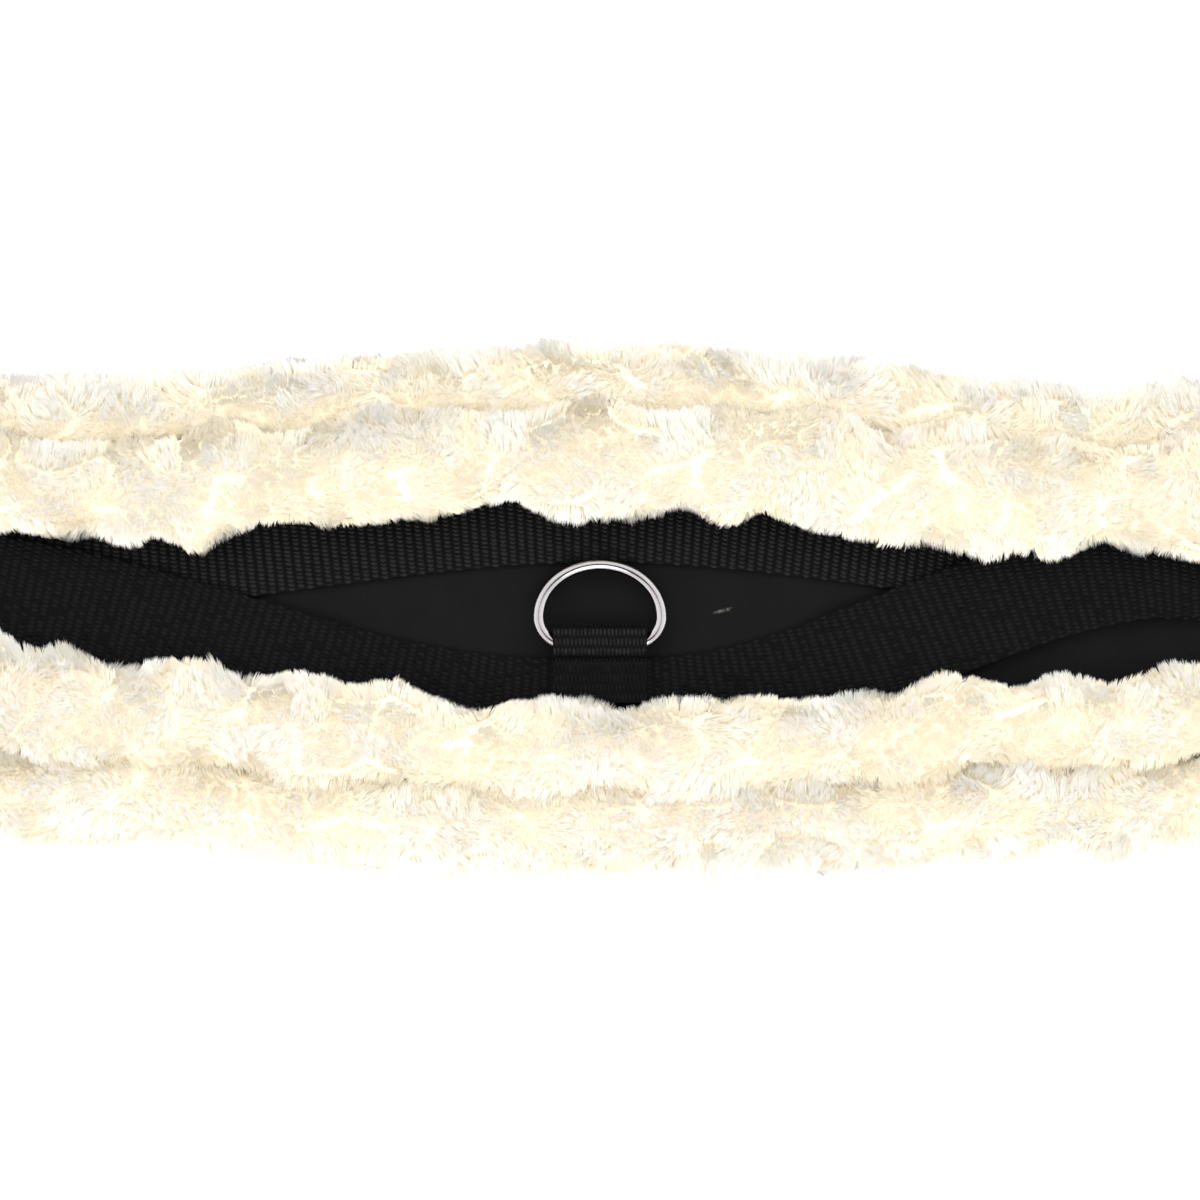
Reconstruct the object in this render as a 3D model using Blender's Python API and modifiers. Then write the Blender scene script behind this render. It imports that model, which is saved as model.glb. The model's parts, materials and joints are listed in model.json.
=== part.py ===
"""Saddle girth: a fleece-lined pad with two crossing webbing straps, a D-ring on its outer face, and a
roller buckle on each of the four elastic straps at its ends.

The girth lies flat with its fleece side on z = 0 and its outer face up. Its length runs along X, with
the left end at -X and the right end at +X. Its front edge is at -Y and its rear edge at +Y. The origin
is the middle of the underside.
"""

import math

import bmesh
import bpy
from mathutils import Vector

MM = 0.001
GAP = 0.3 * MM  # between pieces that touch on the real girth
SHARP_ANGLE = 50  # degrees; flatter edges are shaded smooth
WIRE_RESOLUTION = 2

# Plan of the pad: widest in the middle, narrower towards both ends.
PAD_HALF_LENGTH = 250 * MM
MIDDLE_HALF_WIDTH = 64 * MM
END_HALF_WIDTH = 56 * MM
SWELL_REACH = 150 * MM  # the wide middle fades out this far from the centre
CORNER_RADIUS = 6 * MM
PAD_STATIONS = 21
LINING_MIDDLE_STATIONS = 15
CORNER_STATION_SHARES = (1, 0.5, 0.13, 0)  # of the corner's radius, in from the pad's end

# Fleece lining: the horse side, turned up along both long edges.
LINING_FLOOR = 9 * MM
LINING_RIM_HEIGHT = 23 * MM
LINING_END_RIM_HEIGHT = 14 * MM
LINING_RIM_HALF_WIDTH = 10 * MM
RIM_END_INNER_ANGLE = 135
RIM_ANGLE_STEP = 22.5
RIM_FALL_START = 198 * MM
RIM_FALL_END = 209 * MM
RIM_FALL_STATIONS = 4

# Foam core and outer panel, stacked on the lining between its rims.
FOAM_THICKNESS = 5 * MM
FOAM_HALF_LENGTH = 234 * MM
FOAM_INSET = 20 * MM  # from the pad's outline
PANEL_THICKNESS = 2.5 * MM
PANEL_HALF_LENGTH = 244 * MM
PANEL_INSET = 18.5 * MM
FOAM_BOTTOM = LINING_FLOOR + GAP
PANEL_BOTTOM = FOAM_BOTTOM + FOAM_THICKNESS + GAP
PANEL_TOP = PANEL_BOTTOM + PANEL_THICKNESS

# Webbing straps: both 25 mm wide, side by side in the middle and stacked where they cross.
WEBBING_WIDTH = 25 * MM
WEBBING_THICKNESS = 1.5 * MM
WEBBING_HALF_LENGTH = 242 * MM
WEBBING_STEP = 11 * MM
OVER_MIDDLE_Y = -25 * MM  # centre line of the strap that passes over, at the middle of the girth
UNDER_MIDDLE_Y = 23.5 * MM
BUCKLE_SPREAD = 24 * MM  # centre line of each buckle, from the girth's centre line
OVER_CROSSING_Y = {-1: 6 * MM, 1: 10 * MM}  # where the straps are stacked, at the left and right
UNDER_CROSSING_Y = 9.5 * MM
OVER_CLIMB = {-1: (12 * MM, 165 * MM), 1: (10 * MM, 140 * MM)}
UNDER_CLIMB = (0 * MM, 150 * MM)
FAN_OUT = (140 * MM, 230 * MM)  # the straps leave the stack for their buckles
LIFT_RISE = {-1: (56 * MM, 72 * MM), 1: (48 * MM, 64 * MM)}
ANCHOR_RISE = (209 * MM, 220 * MM)  # both straps climb onto the elastic at the pad's end

# Fleece edge rolls on the outer face, each round a filler cord.
ROLL_HALF_LENGTH = 205 * MM
ROLL_HALF_WIDTH = 13.5 * MM
ROLL_HALF_HEIGHT = 8.5 * MM
ROLL_CENTRE_Z = 27 * MM
ROLL_CLEARANCE = 0.4 * MM  # over the stacked straps
ROLL_STATIONS = 19
ROLL_SIDES = 14
ROLL_END_TAPER = 12 * MM
ROLL_END_SIZE = 0.62
BAND_MEAN_HALF_WIDTH = 16.5 * MM  # the black band left open between the two rolls
BAND_SWING = 4.5 * MM
BAND_PERIOD = 300 * MM
FILLER_RADIUS = 4 * MM
FILLER_CENTRE_Z = 28 * MM

# Pad ends: binding round the panel's edge, elastic on it, webbing on the elastic, patch on top.
BINDING_THICKNESS = 1.1 * MM
BINDING_HALF_WIDTH = 36 * MM
BINDING_LEG = 8 * MM
BINDING_CLEARANCE = 0.45 * MM
ELASTIC_WIDTH = 25 * MM
ELASTIC_THICKNESS = 2 * MM
ELASTIC_ROOT_X = 222 * MM
ELASTIC_BEND_X = 252 * MM
ELASTIC_FLAT_STATIONS = 3
ELASTIC_DROP_STATIONS = 11
PATCH_THICKNESS = 1.6 * MM
PATCH_X = (208 * MM, 250 * MM)
PATCH_HALF_WIDTH = 40 * MM
PATCH_CORNER_RADIUS = 7 * MM
PATCH_CORNER_SEGMENTS = 4
PATCH_SHARP_ANGLE = 30

# Roller buckles for 25 mm girth straps.
BUCKLE_WIRE_RADIUS = 2 * MM
BUCKLE_LENGTH = 32 * MM  # heel bar to roller bar
BUCKLE_HALF_WIDTH = 15.5 * MM
BUCKLE_CORNER_RADIUS = 4 * MM
BUCKLE_CORNER_SEGMENTS = 4
HEEL_X = 314.5 * MM
HEEL_Z = 5.2 * MM
ROLLER_BAR_DROP = 1.4 * MM  # the roller bar lies lower than the heel bar, near the ground
ROLLER_RADIUS = 3.5 * MM
ROLLER_BORE = 2.3 * MM
ROLLER_HALF_LENGTH = 12.5 * MM
ROLLER_STEPS = 16
ROLLER_MERGE = 0.05 * MM
TONGUE_WIRE_RADIUS = 1.3 * MM
TONGUE_EYE_RADIUS = 3.65 * MM
TONGUE_EYE_ANGLES = (90, 352)
TONGUE_EYE_SEGMENTS = 9
TONGUE_REACH = 2.5 * MM  # past the roller bar's axis
TONGUE_TIP_DROP = 0.5 * MM

# Each elastic's folded end, sewn back on itself round the heel bar.
LOOP_INNER_RADIUS = 2.3 * MM
LOOP_THICKNESS = 1.8 * MM
LOOP_LENGTH = 16 * MM
LOOP_KNEE_X = 9.6 * MM  # each leg opens towards the bar from here
LOOP_BEND_ANGLES = (-105, 105)
LOOP_BEND_SEGMENTS = 8
LOOP_SLOT_HALF_WIDTH = 2.2 * MM
LOOP_SLOT_DEPTH = 9.5 * MM
SLOT_CUTTER_HEIGHT = 24 * MM

# D-ring and the folded tab that holds its bar.
RING_WIRE_RADIUS = 1.5 * MM
RING_HALF_WIDTH = 14.7 * MM
RING_ARC_HEIGHT = 12.6 * MM
RING_CORNER_HEIGHT = 6.8 * MM
RING_CORNER_WIDTH = 6.7 * MM
RING_ARC_SEGMENTS = 16
RING_CORNER_SEGMENTS = 5
RING_BAR_Y = -9.6 * MM
RING_BAR_Z = 21 * MM
TAB_WIDTH = 22.4 * MM
TAB_THICKNESS = 1.2 * MM
TAB_SEWN_END_Y = -23.6 * MM
TAB_LOOP_Y = (-10.7 * MM, -6.7 * MM)  # centres of the loop's two bends
TAB_LOOP_RADIUS = 3.15 * MM
TAB_DIP_Y = (-12.2 * MM, -10.6 * MM)  # the lower leg comes down off the webbing's edge here
TAB_LOOP_CENTRE_Z = 21.15 * MM
TAB_BEND_SEGMENTS = 8
TAB_NEAR_BEND_ANGLES = (-90, 90)
TAB_FAR_BEND_ANGLES = (90, 165)
TAB_FAR_BEND_SEGMENTS = 4

FRONT_AND_REAR = {"front": -1, "rear": 1}
LEFT_AND_RIGHT = {"left": -1, "right": 1}


def smoothstep(value, start, end):
    """0 before start, 1 after end, and a smooth climb between them."""
    share = min(max((value - start) / (end - start), 0.0), 1.0)
    return share * share * (3 - 2 * share)


def evenly(start, end, count):
    """count numbers from start to end, both included."""
    return [start + (end - start) * index / (count - 1) for index in range(count)]


def half_width(x):
    """Half the pad's width at x, with small round corners at its ends."""
    swell = math.cos(math.pi / 2 * min(abs(x) / SWELL_REACH, 1)) ** 2
    into_corner = max(abs(x) - (PAD_HALF_LENGTH - CORNER_RADIUS), 0)
    cut = CORNER_RADIUS - math.sqrt(max(CORNER_RADIUS**2 - into_corner**2, 0))
    return END_HALF_WIDTH + (MIDDLE_HALF_WIDTH - END_HALF_WIDTH) * swell - cut


def band_half_width(x):
    """Half the width of the band that stays open between the edge rolls."""
    return BAND_MEAN_HALF_WIDTH + BAND_SWING * math.cos(2 * math.pi * x / BAND_PERIOD)


def side_of(x):
    """-1 on the left half and +1 on the right half."""
    return -1 if x < 0 else 1


def over_strap_y(x):
    """Centre line of the webbing that passes over: front edge, stack, then the rear buckle."""
    crossing = OVER_CROSSING_Y[side_of(x)]
    climb = smoothstep(abs(x), *OVER_CLIMB[side_of(x)])
    fan = smoothstep(abs(x), *FAN_OUT)
    return OVER_MIDDLE_Y + (crossing - OVER_MIDDLE_Y) * climb + (BUCKLE_SPREAD - crossing) * fan


def under_strap_y(x):
    """Centre line of the webbing that passes under: rear edge, stack, then the front buckle."""
    climb = smoothstep(abs(x), *UNDER_CLIMB)
    fan = smoothstep(abs(x), *FAN_OUT)
    sunk = UNDER_MIDDLE_Y + (UNDER_CROSSING_Y - UNDER_MIDDLE_Y) * climb
    return sunk + (-BUCKLE_SPREAD - UNDER_CROSSING_Y) * fan


def elastic_base_z():
    """Underside of the elastic where it lies on the end binding."""
    return PANEL_TOP + GAP + BINDING_THICKNESS + GAP


def anchored_webbing_z():
    """Centre of the webbing where it lies on the elastic."""
    return elastic_base_z() + ELASTIC_THICKNESS + GAP + WEBBING_THICKNESS / 2


def under_strap_z(x):
    flat = PANEL_TOP + GAP + WEBBING_THICKNESS / 2
    return flat + (anchored_webbing_z() - flat) * smoothstep(abs(x), *ANCHOR_RISE)


def over_strap_z(x):
    flat = PANEL_TOP + GAP + WEBBING_THICKNESS / 2
    stacked = flat + GAP + WEBBING_THICKNESS
    lifted = flat + (stacked - flat) * smoothstep(abs(x), *LIFT_RISE[side_of(x)])
    return lifted + (anchored_webbing_z() - stacked) * smoothstep(abs(x), *ANCHOR_RISE)


def clear_scene():
    for obj in list(bpy.data.objects):
        bpy.data.objects.remove(obj, do_unlink=True)


def new_collection(name):
    collection = bpy.data.collections.new(name)
    bpy.context.scene.collection.children.link(collection)
    return collection


def new_material(name, color, roughness, metallic=0.0):
    material = bpy.data.materials.new(name)
    material.use_nodes = True
    shader = material.node_tree.nodes["Principled BSDF"]
    shader.inputs["Base Color"].default_value = (*color, 1)
    shader.inputs["Roughness"].default_value = roughness
    shader.inputs["Metallic"].default_value = metallic
    return material


def new_empty(name, location, turned=False, parent=None):
    """An empty on a joint's axis or at the root of an assembly. turned faces it towards -X."""
    empty = bpy.data.objects.new(name, None)
    empty.location = location
    empty.rotation_euler.z = math.pi if turned else 0
    empty.parent = parent
    PARTS.objects.link(empty)
    return empty


def add_object(name, data, material, parent=None, location=(0, 0, 0), turned=False):
    """An object for this mesh or curve. Copies share it, and each is its own object."""
    obj = bpy.data.objects.new(name, data)
    if not data.materials:
        data.materials.append(material)
    obj.location = location
    obj.rotation_euler.z = math.pi if turned else 0
    obj.parent = parent
    PARTS.objects.link(obj)
    return obj


def finish_mesh(name, shape, sharp_angle=SHARP_ANGLE):
    bmesh.ops.recalc_face_normals(shape, faces=shape.faces)
    mesh = bpy.data.meshes.new(name)
    shape.to_mesh(mesh)
    shape.free()
    mesh.shade_smooth()
    mesh.set_sharp_from_angle(angle=math.radians(sharp_angle))
    return mesh


def join_rings(shape, rings):
    """Quads between each ring of vertices and the next one."""
    for ring, following in zip(rings, rings[1:]):
        for index in range(len(ring)):
            after = (index + 1) % len(ring)
            shape.faces.new((ring[index], ring[after], following[after], following[index]))


def loft(name, sections):
    """A solid through closed sections with the same number of points, capped at both ends."""
    shape = bmesh.new()
    rings = [[shape.verts.new(point) for point in section] for section in sections]
    join_rings(shape, rings)
    shape.faces.new(rings[0])
    shape.faces.new(rings[-1])
    return finish_mesh(name, shape)


def hollow_loft(name, outer_sections, inner_sections):
    """A tube between outer and inner sections, open at both ends."""
    shape = bmesh.new()
    outer = [[shape.verts.new(point) for point in section] for section in outer_sections]
    inner = [[shape.verts.new(point) for point in section] for section in inner_sections]
    join_rings(shape, outer)
    join_rings(shape, inner)
    join_rings(shape, [outer[0], inner[0]])
    join_rings(shape, [outer[-1], inner[-1]])
    return finish_mesh(name, shape)


def ribbon(name, path, width, thickness, side=None):
    """A flat strip along a path. side is across the strip, and is level when left out."""
    sections = []
    for index, point in enumerate(path):
        before = path[max(index - 1, 0)]
        after = path[min(index + 1, len(path) - 1)]
        along = (after - before).normalized()
        across = side or along.cross(Vector((0, 0, -1))).normalized()
        normal = across.cross(along).normalized()
        corners = ((-1, -1), (1, -1), (1, 1), (-1, 1))
        sections.append(
            [point + across * a * width / 2 + normal * b * thickness / 2 for a, b in corners]
        )
    return loft(name, sections)


def wire(name, points, radius, closed):
    """A round wire along a polyline, with filled ends when it isn't closed."""
    curve = bpy.data.curves.new(name, "CURVE")
    curve.dimensions = "3D"
    curve.bevel_depth = radius
    curve.bevel_resolution = WIRE_RESOLUTION
    curve.use_fill_caps = not closed
    spline = curve.splines.new("POLY")
    spline.points.add(len(points) - 1)
    for target, point in zip(spline.points, points):
        target.co = (*point, 1)
    spline.use_cyclic_u = closed
    spline.use_smooth = True
    return curve


def arc(centre, radii, start, end, segments):
    """Points (a, b) along an elliptic arc, with its angles in degrees."""
    angles = [math.radians(angle) for angle in evenly(start, end, segments + 1)]
    return [
        (centre[0] + radii[0] * math.cos(angle), centre[1] + radii[1] * math.sin(angle))
        for angle in angles
    ]


def plate_section(x, half, bottom, top):
    corners = ((-half, bottom), (half, bottom), (half, top), (-half, top))
    return [Vector((x, y, z)) for y, z in corners]


def plate(name, half_length, inset, bottom, top):
    """A flat layer of the pad, set in from its outline."""
    stations = evenly(-half_length, half_length, PAD_STATIONS)
    return loft(name, [plate_section(x, half_width(x) - inset, bottom, top) for x in stations])


def lining_section(x):
    """The lining's floor with a round rim turned up at each long edge."""
    fall = smoothstep(abs(x), RIM_FALL_START, RIM_FALL_END)
    rim_height = LINING_RIM_HEIGHT + (LINING_END_RIM_HEIGHT - LINING_RIM_HEIGHT) * fall
    centre = (half_width(x) - LINING_RIM_HALF_WIDTH, rim_height / 2)
    radii = (LINING_RIM_HALF_WIDTH, rim_height / 2)
    segments = int((RIM_END_INNER_ANGLE + 90) / RIM_ANGLE_STEP)
    rim = arc(centre, radii, -90, RIM_END_INNER_ANGLE, segments)
    rim.append((rim[-1][0], LINING_FLOOR))
    rear = [Vector((x, y, z)) for y, z in rim]
    front = [Vector((x, -y, z)) for y, z in reversed(rim)]
    return rear + front


def lining_stations():
    """Evenly along the pad, and closer together where the rim falls and the corners turn."""
    middle = evenly(-RIM_FALL_START, RIM_FALL_START, LINING_MIDDLE_STATIONS)
    rim_end = evenly(RIM_FALL_START, RIM_FALL_END, RIM_FALL_STATIONS)[1:]
    corner = [PAD_HALF_LENGTH - CORNER_RADIUS * share for share in CORNER_STATION_SHARES]
    outer = rim_end + corner
    return [-x for x in reversed(outer)] + middle + outer


def make_pad(materials):
    lining = loft("fleece_lining", [lining_section(x) for x in lining_stations()])
    add_object("fleece_lining", lining, materials["fleece"])
    foam = plate("foam_core", FOAM_HALF_LENGTH, FOAM_INSET, FOAM_BOTTOM, FOAM_BOTTOM + FOAM_THICKNESS)
    add_object("foam_core", foam, materials["foam"])
    panel = plate("outer_panel", PANEL_HALF_LENGTH, PANEL_INSET, PANEL_BOTTOM, PANEL_TOP)
    add_object("outer_panel", panel, materials["neoprene"])


def roll_size(x):
    """Full size along the roll, and smaller over the last stretch at each end."""
    taper = smoothstep(abs(x), ROLL_HALF_LENGTH - ROLL_END_TAPER, ROLL_HALF_LENGTH)
    return 1 + (ROLL_END_SIZE - 1) * taper


def roll_centre_y(x):
    return band_half_width(x) + ROLL_HALF_WIDTH + ROLL_CLEARANCE


def roll_section(x):
    """An ellipse that lies flat on the straps."""
    size = roll_size(x)
    lowest = over_strap_z(LIFT_RISE[1][1]) + WEBBING_THICKNESS / 2 + ROLL_CLEARANCE
    radii = (ROLL_HALF_WIDTH * size, ROLL_HALF_HEIGHT * size)
    outline = arc((roll_centre_y(x), ROLL_CENTRE_Z), radii, 0, 360, ROLL_SIDES)[:-1]
    return [Vector((x, y, max(z, lowest))) for y, z in outline]


def filler_bore_section(x):
    radius = FILLER_RADIUS + GAP
    outline = arc((roll_centre_y(x), FILLER_CENTRE_Z), (radius, radius), 0, 360, ROLL_SIDES)[:-1]
    return [Vector((x, y, z)) for y, z in outline]


def make_edge_rolls(materials):
    stations = evenly(-ROLL_HALF_LENGTH, ROLL_HALF_LENGTH, ROLL_STATIONS)
    stations[1:1] = [-ROLL_HALF_LENGTH + ROLL_END_TAPER / 2, -ROLL_HALF_LENGTH + ROLL_END_TAPER]
    stations[-1:-1] = [ROLL_HALF_LENGTH - ROLL_END_TAPER, ROLL_HALF_LENGTH - ROLL_END_TAPER / 2]
    outer = [roll_section(x) for x in stations]
    bore = [filler_bore_section(x) for x in stations]
    roll = hollow_loft("edge_roll", outer, bore)
    filler_path = [(x, roll_centre_y(x), FILLER_CENTRE_Z) for x in stations]
    filler = wire("roll_filler", filler_path, FILLER_RADIUS, closed=False)
    for place, side in FRONT_AND_REAR.items():
        add_object(f"edge_roll_{place}", roll, materials["fleece"], turned=side < 0)
        add_object(f"roll_filler_{place}", filler, materials["foam"], turned=side < 0)


def make_webbing(materials):
    count = 2 * round(WEBBING_HALF_LENGTH / WEBBING_STEP) + 1
    stations = evenly(-WEBBING_HALF_LENGTH, WEBBING_HALF_LENGTH, count)
    routes = {
        "webbing_over": (over_strap_y, over_strap_z),
        "webbing_under": (under_strap_y, under_strap_z),
    }
    for name, (route_y, route_z) in routes.items():
        path = [Vector((x, route_y(x), route_z(x))) for x in stations]
        mesh = ribbon(name, path, WEBBING_WIDTH, WEBBING_THICKNESS)
        add_object(name, mesh, materials["webbing"])


def make_end_binding():
    """Tape folded round the panel's end, seen from the side as a U on its side."""
    web_x = PANEL_HALF_LENGTH + BINDING_CLEARANCE + BINDING_THICKNESS / 2
    low = PANEL_BOTTOM - GAP - BINDING_THICKNESS / 2
    high = PANEL_TOP + GAP + BINDING_THICKNESS / 2
    corner = BINDING_THICKNESS / 2
    outline = [
        (web_x - BINDING_LEG, low),
        (web_x - corner, low),
        (web_x, low + corner),
        (web_x, high - corner),
        (web_x - corner, high),
        (web_x - BINDING_LEG, high),
    ]
    path = [Vector((x, 0, z)) for x, z in outline]
    return ribbon("end_binding", path, 2 * BINDING_HALF_WIDTH, BINDING_THICKNESS, Vector((0, 1, 0)))


def make_end_patch():
    """A flat plate with round corners over the sewn ends of the straps."""
    bottom = anchored_webbing_z() + WEBBING_THICKNESS / 2 + GAP
    shape = bmesh.new()
    bmesh.ops.create_cube(shape, size=1)
    bmesh.ops.scale(
        shape, verts=shape.verts, vec=(PATCH_X[1] - PATCH_X[0], 2 * PATCH_HALF_WIDTH, PATCH_THICKNESS)
    )
    middle = (sum(PATCH_X) / 2, 0, bottom + PATCH_THICKNESS / 2)
    bmesh.ops.translate(shape, verts=shape.verts, vec=middle)
    upright = [e for e in shape.edges if abs(e.verts[0].co.z - e.verts[1].co.z) > PATCH_THICKNESS / 2]
    bmesh.ops.bevel(
        shape,
        geom=upright,
        offset=PATCH_CORNER_RADIUS,
        segments=PATCH_CORNER_SEGMENTS,
        profile=0.5,
        affect="EDGES",
    )
    return finish_mesh("end_patch", shape, PATCH_SHARP_ANGLE)


def make_pad_ends(materials):
    binding = make_end_binding()
    patch = make_end_patch()
    for place, side in LEFT_AND_RIGHT.items():
        add_object(f"end_binding_{place}", binding, materials["binding"], turned=side < 0)
        add_object(f"end_patch_{place}", patch, materials["patch"], turned=side < 0)


def make_elastic():
    """The elastic from under the end patch down to its folded end."""
    start_z = elastic_base_z() + ELASTIC_THICKNESS / 2
    end_x = HEEL_X - LOOP_LENGTH - GAP
    stations = evenly(ELASTIC_ROOT_X, ELASTIC_BEND_X, ELASTIC_FLAT_STATIONS)[:-1]
    stations += evenly(ELASTIC_BEND_X, end_x, ELASTIC_DROP_STATIONS)
    path = []
    for x in stations:
        z = start_z + (HEEL_Z - start_z) * smoothstep(x, ELASTIC_BEND_X, end_x)
        path.append(Vector((x, 0, z)))
    return ribbon("elastic_strap", path, ELASTIC_WIDTH, ELASTIC_THICKNESS, Vector((0, 1, 0)))


def loop_path():
    """From the lower leg's end, round the heel bar at the origin, back to the upper leg's end."""
    radius = LOOP_INNER_RADIUS + LOOP_THICKNESS / 2
    leg_end = (LOOP_THICKNESS + GAP) / 2
    bend = arc((0, 0), (radius, radius), *LOOP_BEND_ANGLES, LOOP_BEND_SEGMENTS)
    outline = [(-LOOP_LENGTH, -leg_end), (-LOOP_KNEE_X, -leg_end), *bend]
    outline += [(-LOOP_KNEE_X, leg_end), (-LOOP_LENGTH, leg_end)]
    return [Vector((x, 0, z)) for x, z in outline]


def make_slot_cutter():
    """A box that opens the folded end for the tongue."""
    shape = bmesh.new()
    bmesh.ops.create_cube(shape, size=1)
    reach = LOOP_INNER_RADIUS + 2 * LOOP_THICKNESS
    size = (LOOP_SLOT_DEPTH + reach, 2 * LOOP_SLOT_HALF_WIDTH, SLOT_CUTTER_HEIGHT)
    bmesh.ops.scale(shape, verts=shape.verts, vec=size)
    bmesh.ops.translate(shape, verts=shape.verts, vec=((reach - LOOP_SLOT_DEPTH) / 2, 0, 0))
    cutter = bpy.data.objects.new("tongue_slot_cutter", finish_mesh("tongue_slot_cutter", shape))
    cutter.hide_render = True
    cutter.display_type = "WIRE"
    CUTTERS.objects.link(cutter)
    return cutter


def make_strap_loop(cutter, material):
    """The folded end's mesh, with the tongue's slot cut through it."""
    whole = ribbon("strap_loop", loop_path(), ELASTIC_WIDTH, LOOP_THICKNESS, Vector((0, 1, 0)))
    whole.materials.append(material)
    blank = bpy.data.objects.new("strap_loop_blank", whole)
    CUTTERS.objects.link(blank)
    slot = blank.modifiers.new("tongue_slot", "BOOLEAN")
    slot.object = cutter
    slot.operation = "DIFFERENCE"
    slot.solver = "EXACT"
    bpy.context.view_layer.update()
    cut = bpy.data.meshes.new_from_object(blank.evaluated_get(bpy.context.evaluated_depsgraph_get()))
    cut.name = "strap_loop_cut"
    bpy.data.objects.remove(blank, do_unlink=True)
    return cut


def make_buckle_frame():
    """A rectangular wire frame with round corners, its heel bar on the Y axis."""
    corner = BUCKLE_CORNER_RADIUS
    ends = {0: BUCKLE_LENGTH - corner, 1: BUCKLE_LENGTH - corner, 2: corner, 3: corner}
    sides = {0: -1, 1: 1, 2: 1, 3: -1}
    outline = []
    for index in range(4):
        centre = (ends[index], sides[index] * (BUCKLE_HALF_WIDTH - corner))
        start = -90 + 90 * index
        outline += arc(centre, (corner, corner), start, start + 90, BUCKLE_CORNER_SEGMENTS)
    points = [(x, y, -ROLLER_BAR_DROP * x / BUCKLE_LENGTH) for x, y in outline]
    return wire("buckle_frame", points, BUCKLE_WIRE_RADIUS, closed=True)


def make_roller():
    """A short tube turned about its own axis, which is the roller bar."""
    shape = bmesh.new()
    outline = [
        (ROLLER_RADIUS, ROLLER_HALF_LENGTH),
        (ROLLER_RADIUS, -ROLLER_HALF_LENGTH),
        (ROLLER_BORE, -ROLLER_HALF_LENGTH),
        (ROLLER_BORE, ROLLER_HALF_LENGTH),
    ]
    corners = [shape.verts.new((radius, 0, z)) for radius, z in outline]
    for index, corner in enumerate(corners):
        shape.edges.new((corner, corners[(index + 1) % len(corners)]))
    mesh = bpy.data.meshes.new("buckle_roller")
    shape.to_mesh(mesh)
    shape.free()
    return mesh


def turn_roller(roller):
    """Turns the roller's profile about its own Z axis, which lies along the roller bar."""
    roller.rotation_euler.x = math.pi / 2
    screw = roller.modifiers.new("turned", "SCREW")
    screw.steps = ROLLER_STEPS
    screw.render_steps = ROLLER_STEPS
    screw.use_merge_vertices = True
    screw.merge_threshold = ROLLER_MERGE


def make_tongue():
    """A prong that rests on the roller, and its eye round the heel bar at the origin."""
    prong_z = TONGUE_EYE_RADIUS
    tip = (BUCKLE_LENGTH + TONGUE_REACH, prong_z - TONGUE_TIP_DROP)
    rest = (BUCKLE_LENGTH, prong_z)
    middle = (BUCKLE_LENGTH / 2, prong_z)
    radii = (TONGUE_EYE_RADIUS, TONGUE_EYE_RADIUS)
    eye = arc((0, 0), radii, *TONGUE_EYE_ANGLES, TONGUE_EYE_SEGMENTS)
    points = [(x, 0, z) for x, z in [tip, rest, middle, *eye]]
    return wire("buckle_tongue", points, TONGUE_WIRE_RADIUS, closed=False)


def make_buckled_straps(materials):
    """The four elastic straps, each with its folded end, buckle frame, roller and tongue."""
    elastic = make_elastic()
    loop = make_strap_loop(make_slot_cutter(), materials["elastic"])
    frame = make_buckle_frame()
    roller = make_roller()
    tongue = make_tongue()
    for end, end_side in LEFT_AND_RIGHT.items():
        for edge, edge_side in FRONT_AND_REAR.items():
            place = f"{end}_{edge}"
            turned = end_side < 0
            strap_y = edge_side * BUCKLE_SPREAD
            heel = (end_side * HEEL_X, strap_y, HEEL_Z)
            add_object(f"elastic_strap_{place}", elastic, materials["elastic"], None, (0, strap_y, 0), turned)
            pivot = new_empty(f"heel_bar_{place}", heel, turned)
            add_object(f"strap_loop_{place}", loop, materials["elastic"], pivot)
            add_object(f"buckle_frame_{place}", frame, materials["buckle_metal"], pivot)
            add_object(f"buckle_tongue_{place}", tongue, materials["buckle_metal"], pivot)
            bar = (BUCKLE_LENGTH, 0, -ROLLER_BAR_DROP)
            made = add_object(f"buckle_roller_{place}", roller, materials["buckle_metal"], pivot, bar)
            turn_roller(made)


def ring_outline():
    """The D's centre line round its bar at the origin: two corners, then the arc."""
    width = RING_HALF_WIDTH - RING_CORNER_WIDTH
    radii = (RING_CORNER_WIDTH, RING_CORNER_HEIGHT)
    right = arc((width, RING_CORNER_HEIGHT), radii, -90, 0, RING_CORNER_SEGMENTS)
    left = arc((-width, RING_CORNER_HEIGHT), radii, 180, 270, RING_CORNER_SEGMENTS)
    bow = arc((0, RING_CORNER_HEIGHT), (RING_HALF_WIDTH, RING_ARC_HEIGHT), 0, 180, RING_ARC_SEGMENTS)
    return right[:-1] + bow + left[1:]


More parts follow.
